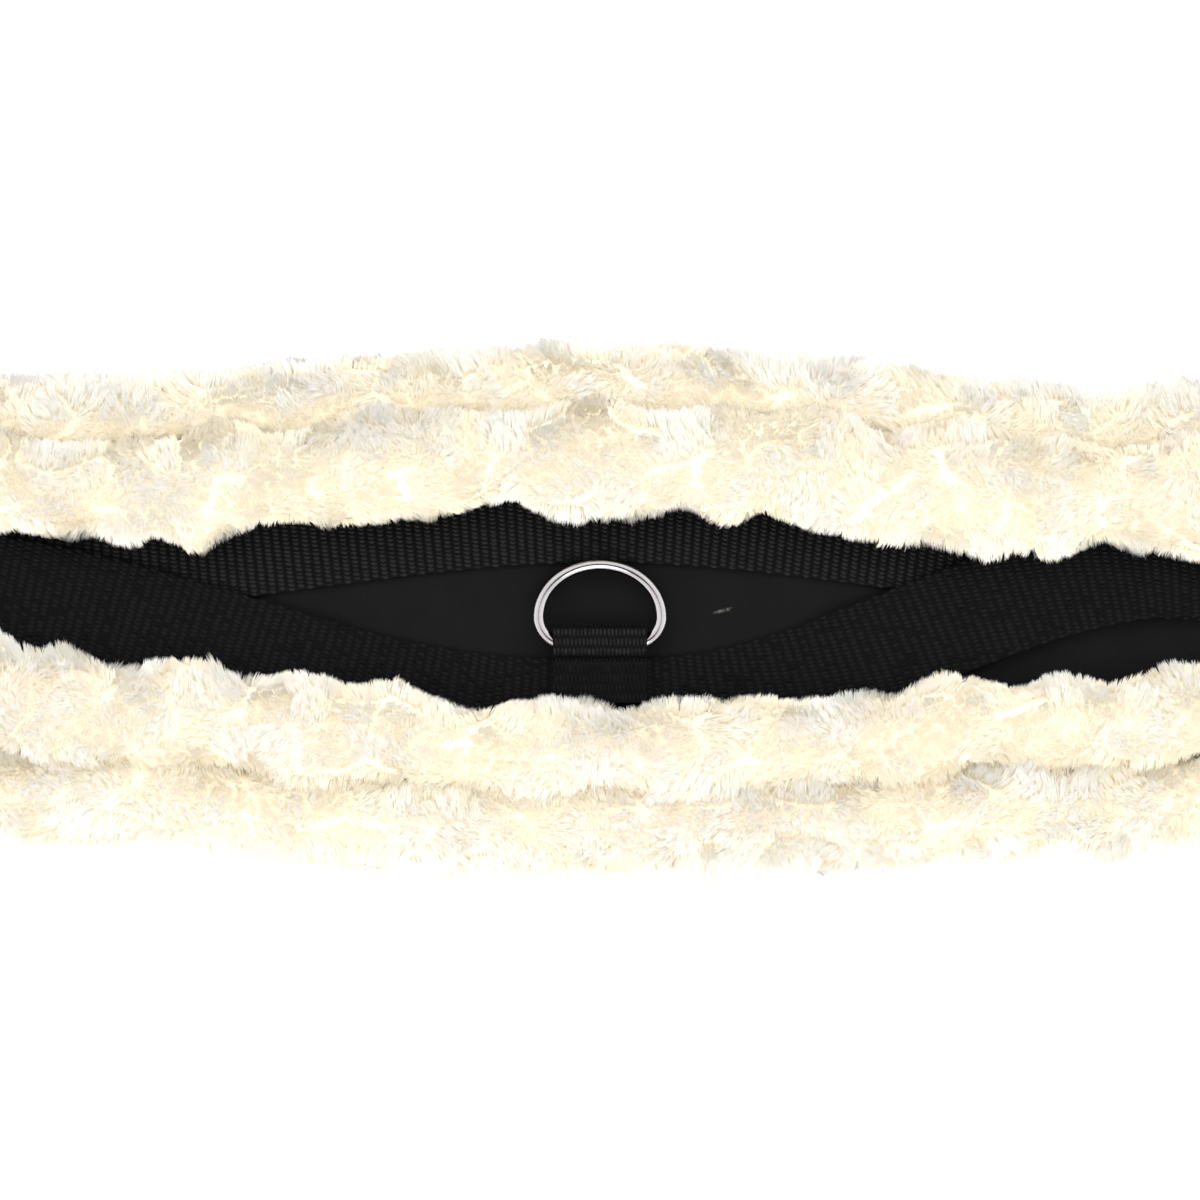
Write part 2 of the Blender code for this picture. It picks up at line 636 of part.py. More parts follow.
def tab_path():
    """The folded tab from the side: under the bar, round it, over it and back to the sewn end."""
    on_strap = PANEL_TOP + GAP + WEBBING_THICKNESS + GAP + TAB_THICKNESS / 2
    folded = on_strap + TAB_THICKNESS + GAP
    radii = (TAB_LOOP_RADIUS - TAB_THICKNESS / 2, TAB_LOOP_RADIUS)
    near_bend = arc((TAB_LOOP_Y[1], TAB_LOOP_CENTRE_Z), radii, *TAB_NEAR_BEND_ANGLES, TAB_BEND_SEGMENTS)
    far_bend = arc((TAB_LOOP_Y[0], TAB_LOOP_CENTRE_Z), radii, *TAB_FAR_BEND_ANGLES, TAB_FAR_BEND_SEGMENTS)
    sewn_start = TAB_LOOP_Y[0] - TAB_LOOP_RADIUS - TAB_THICKNESS
    outline = [(TAB_SEWN_END_Y, on_strap), (TAB_DIP_Y[0], on_strap)]
    outline.append((TAB_DIP_Y[1], TAB_LOOP_CENTRE_Z - TAB_LOOP_RADIUS))
    outline += near_bend + far_bend
    outline += [(sewn_start, folded), (TAB_SEWN_END_Y, folded)]
    return [Vector((0, y, z)) for y, z in outline]


def make_d_ring(materials):
    outline = [(x, y, 0) for x, y in ring_outline()]
    ring = wire("d_ring", outline, RING_WIRE_RADIUS, closed=True)
    bar = (0, RING_BAR_Y, RING_BAR_Z)
    add_object("d_ring", ring, materials["ring_metal"], None, bar)
    tab = ribbon("d_ring_tab", tab_path(), TAB_WIDTH, TAB_THICKNESS, Vector((1, 0, 0)))
    add_object("d_ring_tab", tab, materials["webbing"])


def make_materials():
    return {
        "fleece": new_material("fleece", (0.93, 0.87, 0.72), 0.95),
        "foam": new_material("foam", (0.75, 0.74, 0.70), 0.9),
        "neoprene": new_material("neoprene", (0.012, 0.013, 0.014), 0.75),
        "webbing": new_material("webbing", (0.008, 0.009, 0.012), 0.55),
        "binding": new_material("binding", (0.010, 0.010, 0.011), 0.7),
        "patch": new_material("patch", (0.012, 0.012, 0.012), 0.5),
        "elastic": new_material("elastic", (0.010, 0.010, 0.012), 0.8),
        "ring_metal": new_material("ring_metal", (0.80, 0.78, 0.75), 0.15, 1.0),
        "buckle_metal": new_material("buckle_metal", (0.78, 0.77, 0.75), 0.2, 1.0),
    }


clear_scene()
PARTS = new_collection("saddle_girth")
CUTTERS = new_collection("cutters")
girth_materials = make_materials()
make_pad(girth_materials)
make_edge_rolls(girth_materials)
make_webbing(girth_materials)
make_pad_ends(girth_materials)
make_buckled_straps(girth_materials)
make_d_ring(girth_materials)
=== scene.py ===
"""Looks of the saddle girth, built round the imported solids: fleece pile, woven webbing, the D-ring and its
tab, the leather-look end patches, the elastics and the roller buckles.

Lengths are in metres, in the same frame as the solids: length along X, front edge at -Y, outer face up,
fleece side on z = 0. Sizes shared with the solids repeat part.py's dimensions.
"""

import json
import math

import bpy
import numpy as np
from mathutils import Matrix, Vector

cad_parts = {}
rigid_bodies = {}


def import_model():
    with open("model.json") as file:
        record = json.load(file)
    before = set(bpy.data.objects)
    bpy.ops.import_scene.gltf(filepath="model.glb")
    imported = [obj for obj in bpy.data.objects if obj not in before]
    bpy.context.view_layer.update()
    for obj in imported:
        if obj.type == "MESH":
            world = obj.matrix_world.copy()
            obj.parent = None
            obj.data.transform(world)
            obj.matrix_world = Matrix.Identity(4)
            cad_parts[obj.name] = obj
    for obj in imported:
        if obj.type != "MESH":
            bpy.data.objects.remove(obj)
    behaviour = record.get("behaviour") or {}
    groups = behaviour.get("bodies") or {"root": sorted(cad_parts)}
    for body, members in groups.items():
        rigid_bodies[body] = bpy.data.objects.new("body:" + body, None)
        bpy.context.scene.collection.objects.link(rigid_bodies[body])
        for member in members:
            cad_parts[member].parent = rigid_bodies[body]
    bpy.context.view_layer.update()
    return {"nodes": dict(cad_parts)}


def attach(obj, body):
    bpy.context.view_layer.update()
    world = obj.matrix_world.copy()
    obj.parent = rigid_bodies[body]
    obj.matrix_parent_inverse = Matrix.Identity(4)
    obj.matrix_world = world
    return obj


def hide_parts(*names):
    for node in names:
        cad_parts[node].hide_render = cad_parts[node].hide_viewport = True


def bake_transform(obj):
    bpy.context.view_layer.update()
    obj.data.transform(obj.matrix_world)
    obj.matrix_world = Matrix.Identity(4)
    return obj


MM = 0.001

# Camera: the girth's middle, seen from above and slightly from its front edge.
CAMERA_ELEVATION = 80
CAMERA_DISTANCE = 0.8
PICTURE_WIDTH = 288 * MM
SENSOR_WIDTH = 36
CAMERA_TARGET = (0, 1.8 * MM, 18 * MM)
NEAR_CLIP = 0.01

# Light: pale all round and darkest round the camera, as (cosine of the angle from it, brightness).
WORLD_STRENGTH = 1.84
SKY = [(0.0, 1.0), (0.5, 0.88), (0.9, 0.72), (0.93, 0.66), (0.957, 0.05)]
KEY_POWER = 10
KEY_PLACE = (0.1, -0.9, 1.3)
KEY_SIZE = 1.2
FLOOR_HALF_SIZE = 6.0
FLOOR_GREY = 0.95
FLOOR_GLOW = 0.25

# Pad.
PAD_HALF_LENGTH = 250 * MM
MIDDLE_HALF_WIDTH = 64 * MM
END_HALF_WIDTH = 56 * MM
SWELL_REACH = 150 * MM
LINING_FLOOR = 9 * MM
RIM_HALF_WIDTH = 10 * MM
RIM_FALL = (198 * MM, 209 * MM)
END_CORNER = (44 * MM, 12 * MM, 5 * MM)  # where the end starts to turn, over what width, and how far
END_PILE_HALF_WIDTH = 54 * MM
END_PILE_HEIGHT = 12 * MM

# The panel's small scuff, on the line y = SCUFF_SLOPE * x + SCUFF_OFFSET. Its sizes are (full, faded out).
SCUFF_X = 29.5 * MM
SCUFF_SLOPE = 0.22
SCUFF_OFFSET = -7.1 * MM
SCUFF_WIDTH = (0.1 * MM, 0.55 * MM)
SCUFF_LENGTH = (1.0 * MM, 2.6 * MM)

# Edge rolls.
ROLL_HALF_LENGTH = 205 * MM
ROLL_HALF_WIDTH = 13.5 * MM
ROLL_HALF_HEIGHT = 8.5 * MM
ROLL_CENTRE_Z = 27 * MM
ROLL_LOWEST = 21.1 * MM
ROLL_CLEARANCE = 0.4 * MM
ROLL_END_TAPER = 12 * MM
ROLL_END_SIZE = 0.62
BAND_MEAN_HALF_WIDTH = 16.5 * MM
BAND_SWING = 4.5 * MM
BAND_PERIOD = 300 * MM

# How far each roll's inner edge stands back from its solid: (place along the girth, reach, depth).
# Minus is a tuft that hangs over the band.
EDGE_DENTS = {
    "rear": [
        (-150, 26, 6.5), (-121, 7, 2.2), (-106, 4, 1.8), (-96, 4, -3.0), (-78, 12, 3.2), (-47, 9, 1.6),
        (-23, 8.5, 5.0), (20, 5.5, 3.4), (31, 6, -1.4), (39, 5, 1.6), (66, 11, -2.4), (88, 9, -3.0),
        (106, 7, -2.0), (121, 8, 1.9), (145, 6, -2.0),
    ],
    "front": [
        (-146, 9, -8.8), (-127, 8, -4.4), (-98, 7, -4.0), (-91, 3, -2.0), (-69, 10, -2.6), (-50, 6, -2.4),
        (-31, 8, 3.4), (5, 7, 2.2), (24, 6, 0.6), (52, 10, 2.6), (69, 7, 2.4), (80, 6, -1.6), (100, 6, 2.8),
        (120, 9, 3.8),
    ],
}  # fmt: skip

# The pile's inner edges lean towards the front edge as a whole.
EDGE_SHIFT = {"rear": -2.1 * MM, "front": 1.7 * MM}

# Where the pad's outline swells or draws in, in the same form. Plus is outwards.
OUTLINE_SWELLS = {
    "rear": [(-20, 26, 0.6), (20, 10, 1.2), (60, 14, -0.6), (96, 16, -2.4), (122, 13, -3.2)],
    "front": [(-106, 16, -2.4), (10, 34, -1.2), (70, 16, 0.8), (122, 20, 2.4)],
}

# Webbing straps.
WEBBING_WIDTH = 25 * MM
WEBBING_THICKNESS = 1.5 * MM
WEBBING_HALF_LENGTH = 242 * MM
WEBBING_FLAT_Z = 18.15 * MM
WEBBING_STACK_RISE = 1.8 * MM
WEBBING_ANCHORED_Z = 21.85 * MM
BUCKLE_SPREAD = 24 * MM
OVER_MIDDLE_Y = -25 * MM
UNDER_MIDDLE_Y = 23.5 * MM
OVER_CROSSING_Y = (6 * MM, 10 * MM)  # left, right
OVER_CLIMB = ((12 * MM, 165 * MM), (10 * MM, 140 * MM))
LIFT_RISE = ((56 * MM, 72 * MM), (48 * MM, 64 * MM))
UNDER_CROSSING_Y = 9.5 * MM
UNDER_CLIMB = (0, 150 * MM)
FAN_OUT = (140 * MM, 230 * MM)
ANCHOR_RISE = (209 * MM, 220 * MM)
WEAVE_COLUMN = 2.27 * MM
WEAVE_ROW = 1.04 * MM
WEAVE_ROWS = 24
WEAVE_RISE = 0.42 * MM
WEAVE_SUNK = 0.04 * MM  # how far a stitch's rim is set into the ground under it
WEAVE_SLANT = -0.22
WEAVE_FILL = (0.74, 0.92)  # a stitch's share of its cell along and across the strap
WEAVE_RIDGE = 0.06 * MM
TAPE_EDGE = 1.2 * MM
TAPE_ACROSS = (-12.5, -12.1, -11.4, -6, 0, 6, 11.4, 12.1, 12.5)  # the ground's lines, in mm
TAPE_STATIONS = 485
STITCH_SHARP = 70  # degrees between faces that still shade as one
SLAB_SHARP = 50
ROLLER_SHARP = 35

# Woven materials, as (name, darker color, paler color, specular).
WEBBING_LOOKS = {
    "webbing_over": ("webbing_over_weave", (0.0030, 0.0032, 0.0038), (0.0052, 0.0056, 0.0064), 0.09),
    "webbing_under": ("webbing_under_weave", (0.0046, 0.0046, 0.0048), (0.0086, 0.0086, 0.0090), 0.17),
    # ground: darker than the stitches, as painted shade in the gaps between them
    "ground": ("webbing_ground_painted_shade", (0.0026, 0.0026, 0.0028), (0.0040, 0.0040, 0.0043), 0.05),
    # tab: paler than the strap weave, as painted light on the tab's raised loop
    "tab": ("tab_weave", (0.0044, 0.0044, 0.0049), (0.0080, 0.0080, 0.0090), 0.18),
    "binding": ("binding_tape", (0.005, 0.005, 0.0055), (0.011, 0.011, 0.012), 0.2),
}
PATCH_COLORS = ((0.0045, 0.0045, 0.0045), (0.009, 0.0088, 0.0086))

# Pad ends.
PATCH_X = (208 * MM, 250 * MM)
PATCH_HALF_WIDTH = 40 * MM
PATCH_BOTTOM = 22.9 * MM
PATCH_THICKNESS = 1.6 * MM
PATCH_CORNER = 7 * MM
PATCH_SAG = 1.5 * MM  # it drops between and beside the straps under it
PATCH_STRAP_REACH = 15 * MM
PATCH_EDGE_DROP = (5 * MM, 0.35 * MM)  # reach, drop
PATCH_THIN_RIM = (0.955, 0.45)  # where it starts, and the share of the thickness that it loses
SEAM_INSET = 3 * MM
SEAM_CORNER = 5 * MM
SEAM_BOX = [(-12, -9), (12, -9), (12, 9), (-12, 9), (-12, -9), (12, 9), (12, -9), (-12, 9)]  # mm
STITCH_LENGTH = 2.6 * MM
STITCH_GAP = 0.7 * MM
THREAD_RADIUS = 0.28 * MM
BINDING_HALF_WIDTH = 36 * MM
BINDING_X = 245 * MM
BINDING_Z = (13.75 * MM, 17.95 * MM)
BINDING_LEG = 8 * MM
BINDING_THICKNESS = 1.1 * MM
BINDING_CORNER = 1.4 * MM
BINDING_RIB = (1.2 * MM, 0.09 * MM)  # pitch, half height
ELASTIC_WIDTH = 25 * MM
ELASTIC_ROOT_X = 222 * MM
ELASTIC_BEND_X = 252 * MM
ELASTIC_END_X = 298 * MM
ELASTIC_TOP_Z = 19.8 * MM
ELASTIC_STEP = 0.6 * MM
ELASTIC_STATIONS = 330
ELASTIC_EDGE = 0.9 * MM
ELASTIC_HALF_THICKNESS = (0.98 * MM, 0.9 * MM)  # up to the fold, and round the heel bar
ELASTIC_RIB = (1.5 * MM, 0.14 * MM)  # pitch, height
ELASTIC_PUCKER = (1.1 * MM, 0.07 * MM)
ELASTIC_PUCKER_SHIFT = 2.2  # radians from one rib to the next
ELASTIC_SUNK = 0.2 * MM  # the ribs' middle height stands this far inside the half thickness

# Buckles.
HEEL_X = 314.5 * MM  # the heel bar, and the origin of a buckle's own shapes
HEEL_Z = 5.2 * MM
BUCKLE_LENGTH = 32 * MM
BUCKLE_HALF_WIDTH = 15.5 * MM
BUCKLE_CORNER = 4 * MM
BUCKLE_WIRE = 2 * MM
ROLLER_DROP = 1.4 * MM
ROLLER_RADIUS = 3.5 * MM
ROLLER_BORE = 2.3 * MM
ROLLER_HALF_LENGTH = 12.5 * MM
ROLLER_EASE = 0.35 * MM
ROLLER_SEAM = (0.05, 0.07)  # depth as a share of the radius, and half width in radians
TONGUE_WIRE = 1.3 * MM
TONGUE_EYE = 3.65 * MM
TONGUE_REACH = 2.5 * MM
TONGUE_TIP_DROP = 0.5 * MM
LOOP_RADIUS = 3.2 * MM
LOOP_LEG = 1.05 * MM
LOOP_SLOT_HALF_WIDTH = 2.2 * MM
LOOP_SLOT_DEPTH = 9.5 * MM
LOOP_LEG_X = 304.9 * MM
LOOP_ARC = 105  # degrees, each way from the loop's outer end
FOLD_START_X = 303 * MM
FOLD_BACK_RISE = 0.15 * MM
FOLD_BACK_X = (298.5 * MM, 295 * MM, 288 * MM)  # where the end leaves the loop, settles and stops
FOLD_RISE = 2.25 * MM
FOLD_BOX = [(296, -10), (289.5, -10), (289.5, 10), (296, 10), (296, -10), (289.5, 10)]  # mm
FOLD_STITCH = 2.2 * MM
FOLD_THREAD_RADIUS = 0.24 * MM

# D-ring and tab.
RING_WIRE = 1.5 * MM
RING_HALF_WIDTH = 14.7 * MM
RING_ARC_HEIGHT = 12.6 * MM
RING_CORNER = (6.7 * MM, 6.8 * MM)
RING_BAR = (0, -9.6 * MM, 21 * MM)
TAB_WIDTH = 22.4 * MM
TAB_THICKNESS = 1.2 * MM
TAB_EDGE = 0.8 * MM
TAB_STITCH_RISE = 0.36 * MM
TAB_STITCH_ROW = 0.92 * MM
TAB_STITCH_FILL = (0.8, 0.72)
TAB_ACROSS = (-11.2, -10.9, -10.4, -5, 0, 5, 10.4, 10.9, 11.2)  # the ground's lines, in mm
TAB_SEWN_LENGTH = 10.5 * MM

# The tab's route from its lower sewn layer, round the ring's bar and back over itself, as (y, z) in mm.
TAB_LOOP_RADII = (2.55, 3.15)
TAB_LOOP_NEAR = (-7.7, 21.15)
TAB_LOOP_FAR = (-10.7, 21.15)
TAB_UNDER = [(-23.6, 19.8), (-18.0, 19.8), (-12.2, 19.8), (-11.4, 18.9), (-10.6, 18.0)]
TAB_OVER = [(-15.05, 21.3), (-18.0, 21.3), (-23.6, 21.3)]

# Pile. It stands proud of the solids, as loose wool does.
PILE_DEPTH = 6 * MM
DOME_PILE_DEPTH = 5.5 * MM
UNDERSIDE_PILE_DEPTH = 4 * MM
BACKING_INSET = 3.1 * MM
RIM_PILE_HEIGHT = {"rear": 29.8 * MM, "front": 33 * MM}
RIM_PILE_END_HEIGHT = 19 * MM
RIM_PILE_REACH = {"rear": 1.2 * MM, "front": 2.3 * MM}
RIM_PILE_OVERLAP = 3.2 * MM  # it leans in over the lining's rim to meet the edge roll
UNDERSIDE_REACH = 54 * MM
ROLL_DOME = 5.5 * MM  # the pile's swelling over each end of an edge roll
ROLL_DOME_LIP = 0.2 * MM
ROLL_WANDER = ((1.7 * MM, 47 * MM), (1.1 * MM, 29 * MM))  # (height, wavelength) of its outer side's waves
VALLEY_REACH = 6 * MM  # how far the warm painted shade spreads out of the valley between roll and rim
LOCK_WIDTH = 0.2 * MM  # a lock's radius at its root
PILE_DENSITY = {"roll": 5.2, "dome": 5.0, "rim": 4.4, "end": 2.6, "underside": 0.45}  # locks per square mm
PILE_COARSENESS = {"roll": 1.3, "dome": 1.3, "rim": 1.4, "end": 1.3, "underside": 2.4}  # over LOCK_WIDTH
DENSE_HALF_LENGTH = 150 * MM
PILE_MARGIN = {"rim": 2 * MM, "underside": 3 * MM}  # how far the pile stops short of the pad's ends
ROLL_PILE_ARC = (-48, 212)  # degrees, from the roll's inner side round over its top
RIM_PILE_ARC = (-90, 160)  # degrees, from below the rim out and over its top
VALLEY_ANGLE = {"roll": 178, "rim": 130}  # where each meets the other
WARM_BAY = 13 * MM
PINK_BAY = 19 * MM
PUFF_SIZE = 10 * MM
PUFF_HEIGHT = 1.3 * MM
PUFF_WAVE = (0.9 * MM, 18 * MM)  # height, length
LOWEST_CREASE = -1.4 * MM
PILE_SUNK = 0.3 * MM  # the pile's mean surface stands this far inside its shape
LOCK_UNEVEN = (0.5 * MM, 0.8 * MM)  # how far clumps, and then single locks, differ in length
TUFT_SIZE = 8.5 * MM
CLUMP_SIZE = 2.3 * MM
CLUMP_PULL = 0.4  # how far a lock's tip is drawn to the middle of its clump

# How far tips lean, as a share of the pile's depth: over whole bays, by tuft, by clump and by lock.
BAY_LEAN = (0.30, 16 * MM)  # lean, length
TUFT_LEAN = 0.95
SMALL_LEAN = 0.22
LOCK_LEAN = 0.2
PILE_SOFTNESS = 0.9
PILE_GLOW = 0.9  # how far the pile's shading leans upwards, as light spreads inside wool
NOISE_TABLE = 256
LOCK_COLORS = {
    # root: the wool's own yellower base, and in part painted shade deep in the pile
    "root": (0.98, 0.82, 0.54),
    "middle": (0.975, 0.93, 0.80),
    "tip": (0.98, 0.98, 0.955),
    "shade": (0.96, 0.86, 0.75),
    # painted shade: a warmer tint for locks low in the pile's creases and near the valley between roll and
    # rim
    "painted_crease_shade": (0.99, 0.87, 0.63),
    # skin: the backing's own colour, kept darker in part as painted shade where it shows between the locks
    "skin": (0.95, 0.86, 0.68),
}
MOST_LOCKS = 19_000  # in one piece


# ---------------------------------------------------------------- shapes shared with the solids


def smoothstep(value, start, end):
    share = np.clip((value - start) / (end - start), 0, 1)
    return share * share * (3 - 2 * share)


def half_width(x):
    swell = np.cos(np.pi / 2 * np.minimum(np.abs(x) / SWELL_REACH, 1)) ** 2
    return END_HALF_WIDTH + (MIDDLE_HALF_WIDTH - END_HALF_WIDTH) * swell


def band_half_width(x):
    return BAND_MEAN_HALF_WIDTH + BAND_SWING * np.cos(2 * np.pi * x / BAND_PERIOD)


def by_side(x, pair):
    return np.where(x < 0, pair[0], pair[1])


def by_side_step(x, pairs):
    """smoothstep of |x| between limits that differ on the left and the right."""
    return np.where(x < 0, smoothstep(np.abs(x), *pairs[0]), smoothstep(np.abs(x), *pairs[1]))


def over_strap_y(x):
    crossing = by_side(x, OVER_CROSSING_Y)
    climb = by_side_step(x, OVER_CLIMB)
    fan = smoothstep(np.abs(x), *FAN_OUT)
    return OVER_MIDDLE_Y + (crossing - OVER_MIDDLE_Y) * climb + (BUCKLE_SPREAD - crossing) * fan


def under_strap_y(x):
    sunk = UNDER_MIDDLE_Y + (UNDER_CROSSING_Y - UNDER_MIDDLE_Y) * smoothstep(np.abs(x), *UNDER_CLIMB)
    return sunk + (-BUCKLE_SPREAD - UNDER_CROSSING_Y) * smoothstep(np.abs(x), *FAN_OUT)


def over_strap_z(x):
    lifted = WEBBING_FLAT_Z + WEBBING_STACK_RISE * by_side_step(x, LIFT_RISE)
    last_rise = WEBBING_ANCHORED_Z - WEBBING_FLAT_Z - WEBBING_STACK_RISE
    return lifted + last_rise * smoothstep(np.abs(x), *ANCHOR_RISE)


def under_strap_z(x):
    rise = WEBBING_ANCHORED_Z - WEBBING_FLAT_Z
    return WEBBING_FLAT_Z + rise * smoothstep(np.abs(x), *ANCHOR_RISE)


# ---------------------------------------------------------------- mesh tools


def unit(vectors):
    lengths = np.linalg.norm(vectors, axis=-1, keepdims=True)
    return vectors / np.maximum(lengths, 1e-12)


def set_normals(mesh, normals):
    layer = mesh.attributes.new("custom_normal", "FLOAT_VECTOR", "POINT")
    layer.data.foreach_set("vector", np.asarray(normals, np.float32).ravel())


def new_object(name, points, faces, material, sharp=None, colors=None, uvs=None, normals=None):
    """A mesh object from arrays. faces is a list of arrays, each of faces with one number of corners."""
    groups = [np.asarray(group, np.int64) for group in faces if len(group)]
    corners = np.concatenate([group.ravel() for group in groups])
    sizes = np.concatenate([np.full(len(group), group.shape[1]) for group in groups])
    mesh = bpy.data.meshes.new(name)
    mesh.vertices.add(len(points))
    mesh.vertices.foreach_set("co", np.asarray(points, np.float32).ravel())
    mesh.loops.add(len(corners))
    mesh.loops.foreach_set("vertex_index", corners.astype(np.int32))
    mesh.polygons.add(len(sizes))
    starts = np.concatenate([[0], np.cumsum(sizes)[:-1]])
    mesh.polygons.foreach_set("loop_start", starts.astype(np.int32))
    if uvs is not None:
        layer = mesh.uv_layers.new(name="OFBake")
        layer.data.foreach_set("uv", np.asarray(uvs, np.float32).ravel())
    if colors is not None:
        layer = mesh.color_attributes.new("tint", "BYTE_COLOR", "POINT")
        rgba = np.concatenate([colors, np.ones((len(colors), 1))], axis=1)
        layer.data.foreach_set("color", rgba.astype(np.float32).ravel())
    mesh.update(calc_edges=True)
    mesh.shade_smooth()
    if normals is not None:
        set_normals(mesh, normals)
    if sharp is not None:
        mesh.set_sharp_from_angle(angle=math.radians(sharp))
    mesh.materials.append(material)
    obj = bpy.data.objects.new(name, mesh)
    bpy.context.scene.collection.objects.link(obj)
    return obj


def used_only(points, faces):
    """Leaves out the points that no face uses."""
    used = np.unique(np.concatenate([np.asarray(group).ravel() for group in faces if len(group)]))
    renumber = np.zeros(len(points), np.int64)
    renumber[used] = np.arange(len(used))
    return points[used], [renumber[np.asarray(group)] for group in faces if len(group)]


def ring_loft(name, rings, material, closed=False, sharp=None):
    """A surface through rings of points, an array (rings, points, 3), with filled ends unless closed."""
    count, sides, _ = rings.shape
    index = np.arange(count * sides).reshape(count, sides)
    following = np.roll(index, -1, axis=0) if closed else index[1:]
    current = index if closed else index[:-1]
    turned = np.roll(current, -1, axis=1)
    turned_following = np.roll(following, -1, axis=1)
    quads = np.stack([current, turned, turned_following, following], axis=-1).reshape(-1, 4)
    faces = [quads]
    if not closed:
        faces.append(np.stack([index[0][::-1], index[-1]]))
    return new_object(name, rings.reshape(-1, 3), faces, material, sharp)


def slab(name, place, s_values, w_values, low, high, material, hole=None):
    """A thin solid over a grid. place(s, w, h) gives points; low and high give its two faces' h."""
    s, w = np.meshgrid(s_values, w_values, indexing="ij")
    rows, columns = s.shape
    tops = place(s, w, high(s, w)).reshape(-1, 3)
    bottoms = place(s, w, low(s, w)).reshape(-1, 3)
    index = np.arange(rows * columns).reshape(rows, columns)
    kept = np.ones((rows - 1, columns - 1), bool)
    if hole is not None:
        kept = ~hole((s[:-1, :-1] + s[1:, 1:]) / 2, (w[:-1, :-1] + w[1:, 1:]) / 2)
    corners = [index[:-1, :-1], index[1:, :-1], index[1:, 1:], index[:-1, 1:]]
    under = rows * columns
    top_faces = np.stack([corner[kept] for corner in corners], axis=-1)
    faces = [top_faces, top_faces[:, ::-1] + under]
    fenced = np.pad(kept, 1)
    neighbours = [fenced[1:-1, :-2], fenced[2:, 1:-1], fenced[1:-1, 2:], fenced[:-2, 1:-1]]
    for side, neighbour in enumerate(neighbours):
        open_edge = kept & ~neighbour
        first = corners[side][open_edge]
        second = corners[(side + 1) % 4][open_edge]
        faces.append(np.stack([second, first, first + under, second + under], axis=-1))
    points, faces = used_only(np.concatenate([tops, bottoms]), faces)
    return new_object(name, points, faces, material, SLAB_SHARP)


class Strip:
    """A strip's centre line by arc length, with its sideways and outward directions."""

    def __init__(self, points, side=None):
        self.points = np.asarray(points, float)
        steps = np.linalg.norm(np.diff(self.points, axis=0), axis=1)
        self.lengths = np.concatenate([[0], np.cumsum(steps)])
        self.total = self.lengths[-1]
        along = unit(np.gradient(self.points, axis=0))
        level = unit(np.cross([0.0, 0.0, 1.0], along)) if side is None else np.tile(side, (len(along), 1))
        self.sides = level
        self.normals = unit(np.cross(along, level))

    def at(self, table, s):
        return np.stack([np.interp(s, self.lengths, table[:, k]) for k in range(3)], axis=-1)

    def place(self, s, w, h):
        sideways = self.at(self.sides, s) * np.asarray(w)[..., None]
        outwards = self.at(self.normals, s) * np.asarray(h)[..., None]
        return self.at(self.points, s) + sideways + outwards


def arc(centre, radii, start, end, count):
    angles = np.radians(np.linspace(start, end, count))
    return np.stack([centre[0] + radii[0] * np.cos(angles), centre[1] + radii[1] * np.sin(angles)], axis=-1)


def wire_rings(points, radius, up, closed, sides=20):
    """Rings of points round a flat line. up is square to the line's plane, and radius may vary."""
    points = np.asarray(points, float)
    if closed:
        along = unit(np.roll(points, -1, axis=0) - np.roll(points, 1, axis=0))
    else:
        along = unit(np.gradient(points, axis=0))
    up = unit(np.asarray(up, float))
    across = unit(np.cross(along, up))
    angles = np.linspace(0, 2 * np.pi, sides, endpoint=False)
    radius = np.broadcast_to(radius, len(points))
    around = across[:, None] * np.cos(angles)[None, :, None] + up * np.sin(angles)[None, :, None]
    return points[:, None] + around * radius[:, None, None]


# ---------------------------------------------------------------- materials


def set_stops(node, stops):
    """Fills a color ramp node from (position, color) pairs."""
    elements = node.color_ramp.elements
    while len(elements) < len(stops):
        elements.new(0.5)
    for element, (position, color) in zip(elements, stops):
        element.position = position
        element.color = (*color, 1)


class Nodes:
    """Short names for adding nodes to one material."""

    def __init__(self, name, rough, metallic=0.0, specular=0.5):
        self.material = bpy.data.materials.new(name)
        self.material.use_nodes = True
        self.tree = self.material.node_tree
        self.shader = self.tree.nodes["Principled BSDF"]
        self.shader.inputs["Roughness"].default_value = rough
        self.shader.inputs["Metallic"].default_value = metallic
        self.shader.inputs["Specular IOR Level"].default_value = specular
        self.place = self.tree.nodes.new("ShaderNodeTexCoord").outputs["Object"]

    def link(self, output, target):
        self.tree.links.new(output, target)

    def noise(self, scale, detail):
        node = self.tree.nodes.new("ShaderNodeTexNoise")
        node.inputs["Scale"].default_value = scale
        node.inputs["Detail"].default_value = detail
        self.link(self.place, node.inputs["Vector"])
        return node.outputs["Fac"]

    def mottled(self, scale, detail, low, high, end=0.7):
        """A color that drifts between two."""
        node = self.tree.nodes.new("ShaderNodeValToRGB")
        set_stops(node, [(0.3, low), (end, high)])
        self.link(self.noise(scale, detail), node.inputs["Fac"])
        return node.outputs["Color"]

    def color(self, output):
        self.link(output, self.shader.inputs["Base Color"])

    def map_range(self, value, low, high, from_low=0.0, from_high=1.0):
        node = self.tree.nodes.new("ShaderNodeMapRange")
        node.inputs["From Min"].default_value = from_low
        node.inputs["From Max"].default_value = from_high
        node.inputs["To Min"].default_value = low
        node.inputs["To Max"].default_value = high
        self.link(value, node.inputs["Value"])
        return node.outputs["Result"]

    def math(self, operation, first, second):
        node = self.tree.nodes.new("ShaderNodeMath")
        node.operation = operation
        for socket, value in zip(node.inputs, (first, second)):
            if isinstance(value, (int, float)):
                socket.default_value = value
            else:
                self.link(value, socket)
        return node.outputs["Value"]

    def bump(self, height, distance):
        node = self.tree.nodes.new("ShaderNodeBump")
        node.inputs["Distance"].default_value = distance
        node.inputs["Strength"].default_value = 1.0
        self.link(height, node.inputs["Height"])
        self.link(node.outputs["Normal"], self.shader.inputs["Normal"])


